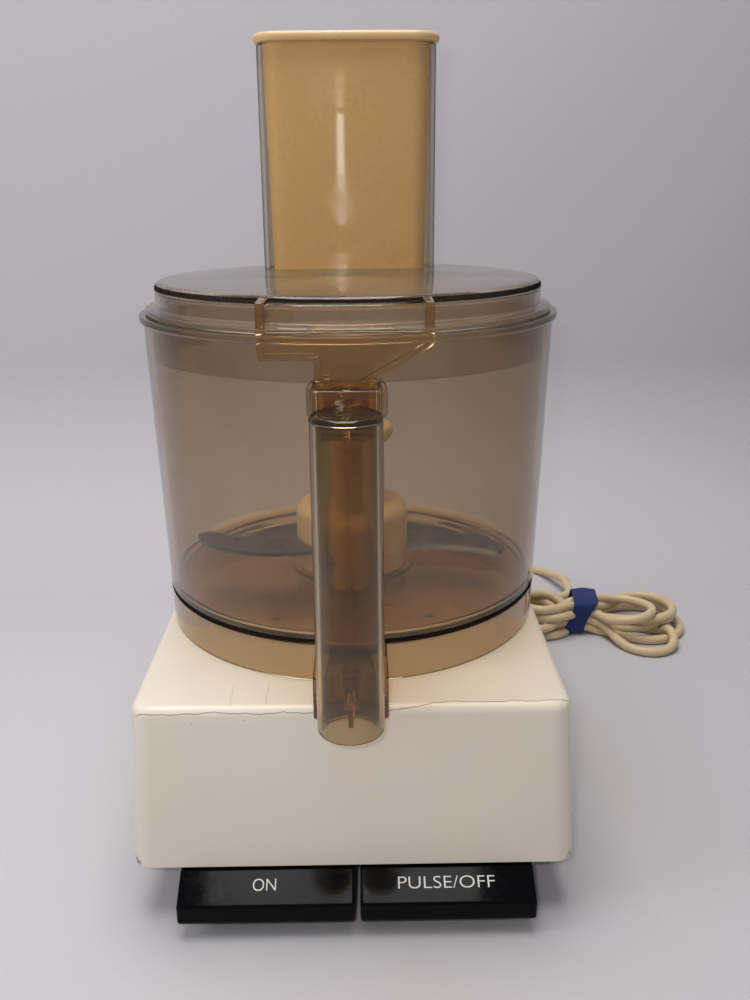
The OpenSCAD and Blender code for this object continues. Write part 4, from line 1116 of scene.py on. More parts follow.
@dataclass(frozen=True)
class Settling:
    """How the cord settles, step by step.

    Attributes:
        spacing: distance between the points.
        smooth: share of the way that a point moves to its neighbours' middle.
        sag: how far it falls.
        passes: how often lengths are mended.
        shorten: share of a stretch taken back.
        lengthen: share of a shortening given back.
        bend: tightest bend wanted, in diameters.
        reach: points on each side that a bend is measured over.
        straighten: share of a tight bend opened.
        search: steps between two searches for strands that are near each other.
        near: distance of such a search, in diameters.
        clear: distance wanted between two strands, in diameters.
        push: share of an overlap pushed apart.
        most: longest single move.
        skip: length between points that don't count as two strands, in diameters.
        widest: largest half angle, in radians, that a bend is measured over.
        outside: share of the cord, from its start, that the tie doesn't hold.
    """

    spacing: float = 3 * MM
    smooth: float = 0.16
    sag: float = 0.02 * MM
    passes: int = 4
    shorten: float = 0.45
    lengthen: float = 0.12
    bend: float = 3.8
    reach: int = 4
    straighten: float = 0.3
    search: int = 8
    near: float = 2.2
    clear: float = 1.03
    push: float = 0.4
    most: float = 1 * MM
    skip: float = 1.7
    widest: float = 1.5
    outside: float = 0.2


def pulled(x: Array, first: Array, second: Array, wanted: Array | float, more: float, less: float,
           most: float, free: Array) -> Array:
    """Points with each pair drawn towards a wanted distance.

    Each point of a pair moves along the line between them by a share of the
    difference: one share where they are too far apart, another where they are too near.

    Args:
        x: n by 3 array of points.
        first: numbers of the pairs' first points.
        second: numbers of their second points.
        wanted: the distance.
        more: share taken where they are too far apart.
        less: share taken where they are too near.
        most: longest move of a point.
        free: which points may move.

    Returns:
        The moved points.
    """
    d = x[second] - x[first]
    size = np.maximum(np.linalg.norm(d, axis=1, keepdims=True), 1e-6)
    step = np.where(size > wanted, more, less) * d * (1 - wanted / size)
    shift = np.zeros_like(x)
    np.add.at(shift, first, step)
    np.add.at(shift, second, -step)
    return x + np.clip(shift, -most, most) * free


@dataclass
class Cord:
    """The mains cord: one length from the gland to the plug, folded up and tied.

    Attributes:
        diameter: of the cord.
        lead: the route from the gland to the folds, in millimetres.
        tail: the route from the folds to the plug, in millimetres.
        right: the folds right of the tie.
        left: the folds left of it.
        slots: where the strands pass through the tie, from its middle, in millimetres.
        held: how many points of the lead stay where they are.
        cloth: thickness of the tie.
        turned: the plug's turn about the upright axis.
    """

    diameter: float = 6.3 * MM
    lead: tuple[tuple[float, float, float], ...] = (
        (34, 160.4, 44), (34, 172, 42), (35, 184, 37), (38, 198, 28), (43, 213, 18), (50, 229, 9),
        (59, 246, 4.5), (71, 264, 3.4), (87, 281, 3.2), (106, 294, 3.2), (125, 299, 3.2), (142, 294, 4),
        (154, 281, 6), (161, 265, 9), (165, 248, 12), (165, 232, 14), (160, 218, 15), (152, 207, 14))
    tail: tuple[tuple[float, float, float], ...] = (
        (112, 179, 8), (107, 174, 5), (100, 170, 3.4), (91, 169, 3.2), (84, 172, 3.4), (80, 178, 3.6))
    right: tuple[Fold, ...] = (Fold(207, 188, 30, 5), Fold(205, 194, 26, 12), Fold(203, 160, 20, 5),
                               Fold(208, 189, 23, 18), Fold(191, 178, 20, 22))
    left: tuple[Fold, ...] = (Fold(136, 186, 20, 9), Fold(134, 190, 22, 4), Fold(137, 187, 19, 16),
                              Fold(133, 188, 23, 10), Fold(138, 186, 18, 21))
    slots: tuple[tuple[float, float], ...] = ((-9.6, 5), (-3.2, 5), (-9.6, 11.4), (-3.2, 11.4), (-6.4, 17.8))
    held: int = 15
    cloth: float = 1.4 * MM
    turned: float = math.radians(20)

    def first_guess(self) -> Array:
        """The cord's line before it settles: lead, then each run and fold in turn, then tail.

        A run passes the tie on its near side going right and on its far side coming back.

        Returns:
            Points in metres.
        """
        tie = box("cord_tie").mean(0) / MM
        parts = [np.array(self.lead, float)]
        for k, (y, z) in enumerate(self.slots):
            angles = (115, 250) if k == 0 else (75, 285)
            parts.append(self.left[k].arc(*angles, 5))
            parts.append(np.array([[tie[0], tie[1] + y, z + 1]]))
            parts.append(self.right[k].arc(-100, 100, 7))
            parts.append(np.array([[tie[0], tie[1] - y, z + 1]]))
        parts.append(np.array(self.tail, float))
        return along(np.concatenate(parts) * MM, 8)

    def settle(self, line: Array, steps: int) -> Array:
        """Lets the cord settle on the floor inside its tie.

        Each step draws every point towards the middle of its neighbours, holds back
        any stretch, pushes strands that touch a diameter apart, opens any
        bend tighter than about four diameters, and keeps the points over the floor and
        inside the tie.

        Args:
            line: the first guess.
            steps: how many steps.

        Returns:
            The settled line, in metres.
        """
        way, r = Settling(), self.diameter / 2
        x = evenly(line, way.spacing)
        each = np.arange(len(x))
        rest = np.linalg.norm(np.diff(x, axis=0), axis=1).mean()
        run = each * rest
        lead, tail = (length_of(np.array(part) * MM) for part in (self.lead[:self.held], self.tail[1:]))
        fixed = (run < lead) | (run > run[-1] - tail)
        free = ~fixed[:, None]
        tie = box("cord_tie")
        low, high = tie[0] + self.cloth + r, tie[1] - self.cloth - r
        apart = int(way.skip * self.diameter / rest) + 2
        bend, wide = way.bend * self.diameter, 2 * way.reach
        chord = 2 * bend * math.sin(min(way.reach * rest / bend, way.widest))
        for step in range(steps):
            if step % way.search == 0:
                distance = np.linalg.norm(x[:, None] - x[None], axis=-1)
                i, j = np.nonzero(distance < way.near * self.diameter)
                keep = j - i > apart
                i, j = i[keep], j[keep]
            move = np.zeros_like(x)
            move[1:-1] += way.smooth * ((x[:-2] + x[2:]) / 2 - x[1:-1])
            move[:, 2] -= way.sag
            x = x + move * free
            for _ in range(way.passes):
                x = pulled(x, each[:-1], each[1:], rest, way.shorten, way.lengthen, math.inf, free)
            x = pulled(x, each[:-wide], each[wide:], chord, 0.0, way.straighten, way.most, free)
            x = pulled(x, i, j, way.clear * self.diameter, 0.0, way.push, way.most, free)
            near_tie = (x[:, 0] > tie[0, 0] - way.most) & (x[:, 0] < tie[1, 0] + way.most)
            inside = near_tie & ~fixed & (run > run[-1] * way.outside)
            x[inside, 1:] = np.clip(x[inside, 1:], low[1:], high[1:])
            x[:, 2] = np.maximum(x[:, 2], np.where(fixed, x[:, 2], r))
        return evenly(x, way.spacing)

    def build(self) -> tuple[bpy.types.Object, Array]:
        """The cord as a swept tube and its centreline."""
        path = self.settle(self.first_guess(), 160)
        return mesh_object("mains_cord", sweep(path, self.diameter / 2, 14)), path

    def gland(self) -> bpy.types.Object:
        """The ribbed strain relief: a taper turned about the cord, with grooves."""
        lo, hi = box("cord_gland")
        back = box("housing")[1, 1]
        t = np.linspace(0, 1, 61)
        taper = (6.1 - 2.2 * t) * MM
        groove = 0.55 * MM * np.clip(np.sin(t * 2 * np.pi * 6), -0.2, 1) * (t > 0.12) * (t < 0.93)
        outer = np.stack([taper - groove, t * (hi[1] - back)], -1)
        flange = np.array([[8.1, -8], [8.1, -6], [6.1, -5.6]]) * MM
        passage = np.array([[3.2, hi[1] / MM - back / MM - 0.1], [3.2, -8]]) * MM
        upright = revolve(np.concatenate([flange, outer, passage]), (0, 0), 40)
        centre = (lo + hi) / 2
        relief = upright.turned(UPRIGHT_TO_Y).moved((centre[0], back, centre[2]))
        return mesh_object("strain_relief", relief)

    def tie(self) -> bpy.types.Object:
        """The cloth band: a rounded ring in Y and Z carried along X, leaning with the strands."""
        lo, hi = box("cord_tie")
        mid, corner = (lo + hi) / 2, 5 * MM
        hy, hz = (hi - lo)[1] / 2 - corner, (hi - lo)[2] / 2 - corner
        plan = Outline.of(np.array([[-hy, -hz], [hy, -hz], [hy, hz], [-hy, hz]]), 9, 6)
        u = np.linspace(-1, 1, 13)
        outer = [plan.at(corner - 0.35 * MM * abs(k) ** 3) for k in u]
        across = np.stack(outer + [plan.at(3.9 * MM)] * len(u))
        along_x = np.concatenate([u, u[::-1]]) * (hi - lo)[0] / 2
        x = np.broadcast_to(along_x[:, None, None], (*across.shape[:2], 1))
        rings = np.concatenate([x, across], -1)
        rings[..., 0] *= 1 + 0.16 * (rings[..., 2:] / hz).clip(-1.4, 1.4)[..., 0] ** 2
        rings[..., 0] += 0.42 * rings[..., 2] + 0.1 * rings[..., 1] - 2 * MM
        rings[..., 1:] *= 1 + 0.02 * np.sin(rings[..., :1] / (2.5 * MM))
        return mesh_object("tie_band", loft(rings + mid, closed=True))

    def plug(self) -> bpy.types.Object:
        """The plug: a rounded body with a tapered neck, turned as the CAD plug is."""
        at, floor = np.array(self.tail[-1]) * MM, 0.4 * MM
        body = slab(-12.5 * MM, 12.5 * MM, 12 * MM, 34 * MM, -at[2] + floor, 11.8 * MM, 4.5 * MM, 3 * MM)
        t = np.linspace(0, 1, 16)
        neck = np.stack([(4.6 + 2.6 * t**2) * MM, t * 14 * MM - 0.5 * MM], -1)
        neck = np.concatenate([[[3.2 * MM, -0.5 * MM]], neck, [[3.2 * MM, 13.5 * MM]]])
        turn = turn_about_z(self.turned)
        stem = revolve(neck, (0, 0), 32).turned(UPRIGHT_TO_Y).moved((0, 0, 0.6 * MM))
        stem = stem.turned(turn).moved(at)
        stem.points[:, 2] = np.maximum(stem.points[:, 2], floor)
        return mesh_object("plug_shell", [body.turned(turn).moved(at), stem])

    def dress(self) -> None:
        """Gives the cord, its strain relief, its tie and its plug their finishes."""
        obj, path = self.build()
        dress(obj, VINYL, "base", "cord_vinyl", "cord_lead", "cord_hank", "cord_tail")
        relief = dress(self.gland(), VINYL, "base", "cord_vinyl", "cord_gland")
        band = dress(self.tie(), TIE, "base", "tie_cloth", "cord_tie")
        plug = dress(self.plug(), VINYL, "base", "cord_vinyl", "plug_body")
        LOG.info("cord is %.3f m long", length_of(path))


# ---------------------------------------------------------------- bowl


@dataclass
class Bowl:
    """The work bowl with its handle.

    Attributes:
        wall: wall thickness.
        floor_z: height of the bowl's floor.
        floor: thickness of the floor.
        flare: growth of the radius for each unit of height.
        slot_half: half width of the ways of the interlock rod.
        handle_r: radius of the handle tube.
        handle_wall: its wall.
    """

    wall: float = 2.6 * MM
    floor_z: float = 126.5 * MM
    floor: float = 3 * MM
    flare: float = 0.03
    slot_half: float = 1.3 * MM
    handle_r: float = 13.4 * MM
    handle_wall: float = 2.4 * MM

    def __post_init__(self) -> None:
        """Reads the bowl's place from the CAD box."""
        lo, hi = box("work_bowl")
        self.axis = (lo + hi)[:2] / 2
        self.foot_z, self.rim_z = lo[2], hi[2]
        self.lip_r = (hi - lo)[0] / 2
        self.handle_y = box("bowl_handle")[0, 1] + self.handle_r

    def radius(self, z: float) -> float:
        """Outer radius of the wall at a height."""
        return self.lip_r - 1.8 * MM + self.flare * (z - self.rim_z)

    def vessel(self) -> bpy.types.Object:
        """The bowl turned from one closed outline: foot, wall, lip, floor and the tube in its middle."""
        out, w, f = self.radius, self.wall, self.floor_z
        lip, foot, rim = self.lip_r, self.foot_z, self.rim_z
        pad, under = f + 0.9 * MM, f - self.floor
        corners = np.array([
            [out(foot) - w, foot], [out(foot), foot], [out(rim - 3.5 * MM), rim - 3.5 * MM],
            [lip, rim - 2.8 * MM], [lip, rim], [lip - 4.4 * MM, rim], [out(f) - w, f], [31 * MM, f],
            [30.4 * MM, pad], [13.2 * MM, pad], [12.4 * MM, f + 2 * MM], [11.9 * MM, f + 40 * MM],
            [10.5 * MM, f + 40 * MM], [10.5 * MM, under], [out(under) - w, under]])
        radii = np.array([0.9, 0.9, 0.6, 0.8, 0.9, 0.9, 4.5, 0.3, 0.3, 0.4, 0.4, 0.6, 0.4, 0.4, 1.5]) * MM
        return mesh_object("bowl_vessel", revolve(rounded(corners, radii, 7), self.axis, 256))

    def slots(self) -> list[Surface]:
        """The ways of the interlock rod's two arms, and the pocket over its pin."""
        rod, half = box("interlock_rod"), self.slot_half
        y0, lip_y = self.handle_y - 4.4 * MM, self.axis[1] - self.radius(self.rim_z)
        pin_y, pocket = box("interlock_pin")[1, 1] - 4 * MM, 5 * MM
        low = self.foot_z - 2 * MM
        upper = slab(-half, half, y0, lip_y, rod[1, 2] - 8.4 * MM, rod[1, 2] + 4 * MM, 0.2 * MM, 0.1 * MM)
        lower = slab(-half, half, self.handle_y, pin_y, low, rod[0, 2] + 9 * MM, 0.2 * MM, 0.1 * MM)
        over_pin = slab(-pocket, pocket, pin_y - pocket, pin_y + pocket, low, self.foot_z + 13 * MM,
                        0.5 * MM, 0.5 * MM)
        return [upper, lower, over_pin]

    def tube(self) -> bpy.types.Object:
        """The hollow handle, turned about its own axis, shut at the top and open below."""
        lo = box("bowl_handle")[0]
        r, inner = self.handle_r, self.handle_r - self.handle_wall
        top, axis = self.rim_z - 22.7 * MM, 0.3 * MM
        ceiling = top - self.handle_wall
        corners = np.array([[axis, top], [r, top], [r, lo[2]], [inner, lo[2]], [inner, ceiling],
                            [axis, ceiling]])
        profile = rounded(corners, np.array([0.01, 1.9, 1.7, 0.6, 1.2, 0.01]) * MM, 9)
        obj = mesh_object("handle_tube", revolve(profile, (0, self.handle_y), 128, solid=True))
        return cut(obj, self.slots()[:2])

    def socket(self) -> bpy.types.Object:
        """The box between handle and bowl that takes the lid's tab, open at the top."""
        top = self.rim_z - 17.2 * MM
        low = top - 18.5 * MM
        y0 = self.handle_y + self.handle_r - 1.2 * MM
        y1 = self.axis[1] - self.radius(top) + 0.3 * MM
        half = self.handle_r
        outer = slab(-half, half, y0, y1, low, top, 1.6 * MM, 0.7 * MM)
        inner = half - 2 * MM
        pocket = slab(-inner, inner, y0 + 7 * MM, y1 - 0.9 * MM, low + 3 * MM, top + 9 * MM, 1 * MM, 0.8 * MM)
        return cut(mesh_object("handle_socket", outer), [pocket, self.slots()[0]])

    def guide(self) -> bpy.types.Object:
        """The plate behind the socket, its two upper corners standing out as rounded ears."""
        top = self.rim_z - 16.6 * MM
        low, half = top - 15 * MM, 15.8 * MM
        y1 = self.axis[1] - self.radius(top) + 0.6 * MM
        plan = np.array([[-half, low], [half, low], [half, top], [-half, top]])
        outline = rounded(plan, np.array([2, 2, 4.2, 4.2]) * MM, 10)
        stood = prism(outline, -1.4 * MM, 1.4 * MM, 1.3 * MM)
        return mesh_object("handle_guide", stood.turned(SWAP_X_Y).moved((0, y1 - 1.2 * MM, 0)))

    def foot(self) -> bpy.types.Object:
        """The lower bridge, hollow over the interlock pin."""
        half = self.handle_r + 1.8 * MM
        y1 = self.axis[1] - self.radius(self.foot_z + 9 * MM) + 1 * MM
        bridge = slab(-half, half, self.handle_y + 5 * MM, y1, self.foot_z, self.floor_z - 2 * MM,
                      1.6 * MM, 1 * MM)
        t = np.linspace(0, 2 * np.pi, 96, endpoint=False)
        r = self.handle_r + 0.05 * MM
        plan = np.stack([r * np.cos(t), self.handle_y + r * np.sin(t)], -1)
        tube = loft(np.stack([at_height(plan, z) for z in (self.foot_z - 0.01, self.floor_z + 0.01)]))
        return cut(mesh_object("handle_foot", bridge), [tube, *self.slots()[1:]])

    def dress(self) -> None:
        """Gives the bowl and its handle their smoke plastic."""
        smoke = BandedClear("smoke_clear_bowl", SMOKE.tint, SMOKE.edge, haze=SMOKE.haze, shade=SMOKE.shade,
                            # painted shade: a dark band round the front of the floor's outer edge
                            band_low=self.floor_z - self.floor, band_high=self.floor_z - 0.2 * MM,
                            band_r=self.radius(self.floor_z) - 0.6 * MM, axis_y=self.axis[1],
                            # painted shade: a deeper tint over the floor
                            floor=(0.49, 0.295, 0.115))
        dress(self.vessel(), smoke, "bowl", "smoke_clear", "work_bowl")
        dress(self.tube(), HANDLE_SMOKE, "bowl", "smoke_clear", "bowl_handle")
        dress(self.socket(), AMBER, "bowl", "amber_clear")
        dress(self.guide(), SMOKE, "bowl", "smoke_clear")
        dress(self.foot(), HANDLE_SMOKE, "bowl", "smoke_clear")
        finish_node("interlock_rod", ROD)


# ---------------------------------------------------------------- knife


@dataclass
class Knife:
    """The chopping knife: a turned hub with two curved blades.

    Attributes:
        inner: radius that a blade starts at, inside the hub.
        start: its angle there, in degrees.
        bend: how far it bends back by its tip, in degrees.
        half: half its width at the root.
        narrow: share of the width that the tip loses.
        ground: width of the ground edge.
        reach: radius that it ends at.
        sweep: radius that its bend is reckoned to.
        lag: how far its width leans back from square to the radius, in degrees.
        tip: length of its rounded tip.
    """

    inner: float = 20 * MM
    start: float = 34.0
    bend: float = 40.0
    half: float = 13.5 * MM
    narrow: float = 0.55
    ground: float = 4.5 * MM
    reach: float = 78 * MM
    sweep: float = 84 * MM
    lag: float = 18.0
    tip: float = 6 * MM

    def hub(self) -> bpy.types.Object:
        """The hub turned from one outline: skirt, knob, stem and cap, over the bore for the shaft."""
        lo, hi = box("knife_hub")
        low, high, knob = lo[2], hi[2], (hi - lo)[0] / 2
        sleeve = box("drive_sleeve")
        axis = (lo + hi)[:2] / 2
        shaft_way, roof, end = 15.4 * MM, low + 42 * MM, sleeve[1, 2] + 1 * MM
        key = (sleeve[1, 0] - sleeve[0, 0]) / 2 + 0.4 * MM
        skirt, stem, cap = knob - 0.7 * MM, 16.5 * MM, 20.7 * MM
        corners = np.array([
            [NEAR_AXIS, end], [key, end], [key, roof], [shaft_way, roof], [shaft_way, low], [skirt, low],
            [skirt, low + 8.8 * MM], [knob, low + 9.8 * MM], [knob, low + 32 * MM], [stem, low + 33 * MM],
            [stem, high - 9 * MM], [19.4 * MM, high - 7 * MM], [cap, high - 5.4 * MM], [cap, high],
            [NEAR_AXIS, high]])
        radii = np.array([0.01, 0.3, 0.3, 0.5, 0.5, 1, 0.3, 0.5, 8, 2.5, 2, 1, 1, 2.4, 0.01]) * MM
        return mesh_object("knife_hub_shell", revolve(rounded(corners, radii, 9), axis, 128, solid=True))

    def blade(self, node: str, turn: float) -> bpy.types.Object:
        """One blade, swept from the hub to its tip.

        At radius r, with t running from 0 at the root to 1 at the sweep, the middle
        stands at the start angle less bend times t to the power 1.15, and the half
        width is its root value times one less narrow times t cubed. The section is a
        flat plate whose leading side is ground down to an edge.

        Args:
            node: the CAD node it stands for.
            turn: 0, or half a turn for the opposite blade.

        Returns:
            The blade.
        """
        lo, hi = box(node)
        axis = box("knife_hub").mean(0)[:2]
        r = np.linspace(self.inner, self.reach, 40)
        t = (r - self.inner) / (self.sweep - self.inner)
        a = np.radians(self.start - self.bend * t**1.15)[:, None]
        lean = a - np.radians(self.lag)
        past = ((r - (self.reach - self.tip)) / (self.tip + 0.2 * MM)).clip(0)
        round_tip = np.sqrt(np.clip(1 - past**2, 0.03, 1))
        half = (self.half * (1 - self.narrow * t**3) * round_tip)[:, None]
        h = np.linspace(-1, 1, 17) * half
        x = r[:, None] * np.cos(a) - h * np.sin(lean)
        y = r[:, None] * np.sin(a) + h * np.cos(lean)
        upper = lo[2] + (hi[2] - lo[2]) * np.clip((h + half) / self.ground, 0.08, 1)
        lower = np.full_like(upper, lo[2])
        rings = np.concatenate([np.stack([x, y, lower], -1), np.stack([x, y, upper], -1)[:, ::-1]], 1)
        blade = loft(rings).turned(turn_about_z(turn)).moved((axis[0], axis[1], 0))
        return mesh_object(node + "_ground", blade, 20)

    def dress(self) -> None:
        """Gives the hub its plastic and the blades their steel."""
        dress(self.hub(), CREAM, "knife", "hub_plastic", "knife_hub")
        dress(self.blade("lower_blade", 0.0), BLADE, "knife", "blade_steel", "lower_blade")
        dress(self.blade("upper_blade", math.pi), BLADE, "knife", "blade_steel", "upper_blade")


# ---------------------------------------------------------------- lid and pusher


@dataclass
class Lid:
    """The lid with its feed tube and the stepped moulding that works the interlock.

    Attributes:
        wall: wall of the lid.
        tube_wall: wall of the feed tube.
        end_r: radius of the feed tube's corners.
        collar_gap: play between the collar and the bowl; not used.
    """

    wall: float = 2.6 * MM
    tube_wall: float = 2.3 * MM
    end_r: float = 12 * MM
    collar_gap: float = 1 * MM

    def __post_init__(self) -> None:
        """Reads the lid's place from the CAD boxes."""
        lo, hi = box("lid")
        self.axis = (lo + hi)[:2] / 2
        self.low_z, self.top_z = lo[2], hi[2]
        self.flange_r = (hi - lo)[0] / 2
        self.rim_z = box("work_bowl")[1, 2]

    def section(self, bow: float = 0.0) -> Outline:
        """The feed tube's section: straight ends, a flat front and a back that follows the lid."""
        lo, hi = box("feed_tube")
        half = (hi - lo)[0] / 2 - self.end_r
        front = lo[1] + self.end_r
        back_r = hi[1] - self.end_r - self.axis[1]
        swing = math.asin(half / back_r)
        a = np.linspace(swing, -swing, 13)
        back = np.stack([back_r * np.sin(a), self.axis[1] + back_r * np.cos(a)], -1)
        x = np.linspace(-half, half, 13)
        face = np.stack([x, front + bow * (x / half) ** 2 - bow], -1)
        return Outline.of(np.concatenate([face, back]), 7, 1)

    def cover(self) -> bpy.types.Object:
        """The lid turned from one outline, with the feed tube's opening cut through its top."""
        top, rim, w = self.top_z, self.rim_z, self.wall
        side, flange = self.flange_r - 4.8 * MM, self.flange_r
        out, lip = flange - 2.55 * MM, rim + 0.3 * MM
        corners = np.array([
            [NEAR_AXIS, top - w], [side - w, top - w], [side - w, rim], [out - w, rim - 2 * MM],
            [out - w, self.low_z], [out, self.low_z], [out, lip], [flange, lip], [flange, rim + 2.6 * MM],
            [side, rim + 3.4 * MM], [side, top], [NEAR_AXIS, top]])
        radii = np.array([0.01, 3, 1.2, 1, 0.7, 0.7, 0.3, 0.7, 1, 1, 3, 0.01]) * MM
        obj = mesh_object("lid_cover", revolve(rounded(corners, radii, 9), self.axis, 256, solid=True))
        plan = self.section().at(self.end_r - self.tube_wall)
        opening = loft(np.stack([at_height(plan, z) for z in (top - w - 1 * MM, top + 1 * MM)]))
        return cut(obj, [opening])

    def tube(self) -> bpy.types.Object:
        """The feed tube: its section drawn out and in again, with an eased rim."""
        lo, hi = box("feed_tube")
        half, plan = self.tube_wall / 2, self.section()
        heights = [lo[2], lo[2] + 4 * MM, hi[2] - 30 * MM]
        out = [(0.0, z) for z in heights]
        rim = [(-half + half * math.cos(t), hi[2] - half + half * math.sin(t))
               for t in np.linspace(0, np.pi, 9)]
        back = [(-self.tube_wall, z) for z in heights[::-1]]
        rings = np.stack([at_height(plan.at(self.end_r + grow), z) for grow, z in out + rim + back])
        return mesh_object("feed_tube_shell", loft(rings, closed=True))

    def cam(self) -> tuple[bpy.types.Object, bpy.types.Object]:
        """The stepped moulding on the lid's front.

        Returns:
            Its plate with raised edges and the tab, and the two ribs back to the lid.
        """
        lo, hi = box("lid_cam")
        y0, depth, plate, edge = lo[1], 5 * MM, 2.2 * MM, 2.4 * MM
        top, rim = self.top_z - 0.4 * MM, self.rim_z
        left, right, arm = -33.5 * MM, 33.2 * MM, 3.5 * MM
        ledge, step, tab = rim - 8 * MM, rim - 16.4 * MM, 8.5 * MM
        sill, notch, well = rim + 3 * MM, 12 * MM, rim + 0.8 * MM
        outline = np.array([
            [left, top], [left, ledge], [-notch, ledge], [-notch, step], [-tab, step], [-tab, lo[2]],
            [tab, lo[2]], [tab, step], [right, rim - 2.6 * MM], [right, top], [right - arm, top],
            [right - arm, sill], [left + arm, sill], [left + arm, top]])
        radii = np.array([0.8, 2, 1, 0.4, 0.4, 1, 1, 1, 1.5, 0.8, 0.8, 1, 1, 0.8]) * MM
        body = prism(rounded(outline, radii, 5), 0, depth, 0.7 * MM)
        panel = np.array([
            [left + edge, well], [left + edge, ledge + edge], [edge - notch, ledge + edge],
            [edge - notch, step + edge], [edge - tab, step + edge], [edge - tab, lo[2] + edge],
            [tab - edge, lo[2] + edge], [tab - edge, rim - 15 * MM], [right - edge, rim - 1 * MM],
            [right - edge, well]])
        window = prism(rounded(panel, 0.8 * MM, 5), -1 * MM, depth - plate, 0.3 * MM)
        body, window = (part.turned(SWAP_X_Y).moved((0, y0, 0)) for part in (body, window))
        obj = cut(mesh_object("lid_cam_plate", body), [window])
        back = y0 + depth - 0.6 * MM
        ribs = [slab(x, x + arm, back, hi[1] - 0.2 * MM, rim + 3.6 * MM, top, 0.5 * MM, 0.4 * MM)
                for x in (left, right - arm)]
        return obj, mesh_object("lid_cam_ribs", ribs)

    def dress(self) -> None:
        """Gives the lid its smoke plastic and the moulding its amber one."""
        smoke = BandedClear("smoke_clear_lid", LID_SMOKE.tint, LID_SMOKE.edge, haze=LID_SMOKE.haze,
                            shade=LID_SMOKE.shade, marks=LID_SMOKE.marks,
                            # painted shade: a dark band along the front of the top's outer edge
                            band_low=self.top_z - 3.4 * MM, band_high=self.top_z - 0.9 * MM,
                            band_r=self.flange_r - 5.8 * MM, axis_y=self.axis[1])
        dress(self.cover(), smoke, "lid", "smoke_clear", "lid")
        dress(self.tube(), TUBE_SMOKE, "lid", "smoke_clear", "feed_tube")
        plate, ribs = self.cam()
        dress(plate, AMBER, "lid", "amber_clear", "lid_cam")
        dress(ribs, AMBER, "lid", "amber_clear")


@dataclass
class Pusher:
    """The food pusher: a hollow cup that fills the feed tube, with a rolled rim.

    Attributes:
        lid: the lid whose tube it fills.
        play: gap to the tube.
        draft: how far it narrows towards its foot.
        wall: wall thickness.
        bow: how far its front face bulges.
    """

    lid: Lid
    play: float = 0.8 * MM
    draft: float = 2.2 * MM
    wall: float = 2 * MM
    bow: float = 0.6 * MM

    def build(self) -> bpy.types.Object:
        """The cup: up the outside, over the rim, and down the inside to its floor."""
        lo, hi = box("pusher")
        plan = self.lid.section(self.bow)
        top = box("feed_tube")[1, 2] + 0.35 * MM
        outer = -self.lid.tube_wall - self.play
        foot, ease, w = outer - self.draft, 2 * MM, self.wall
        levels = [(foot - ease + ease * math.sin(t), lo[2] + ease - ease * math.cos(t))
                  for t in np.linspace(0, np.pi / 2, 6)]
        levels += [(outer, top)]
        rim, roll = 1.6 * MM, (hi[2] - top) / 2
        levels += [(rim - roll + roll * math.cos(t), top + roll + roll * math.sin(t))
                   for t in np.linspace(-np.pi / 2, np.pi / 2, 12)]
        levels += [(outer - w + 1 * MM, hi[2]), (outer - w, hi[2] - 1 * MM), (foot - w, lo[2] + w + ease),
                   (foot - w - ease, lo[2] + w)]
        rings = np.stack([at_height(plan.at(self.lid.end_r + grow), z) for grow, z in levels])
        return mesh_object("pusher_cup", loft(rings))

    def dress(self) -> None:
        """Gives the pusher its plastic."""
        dress(self.build(), TAN, "pusher", "tan_plastic", "pusher")


# ---------------------------------------------------------------- studio


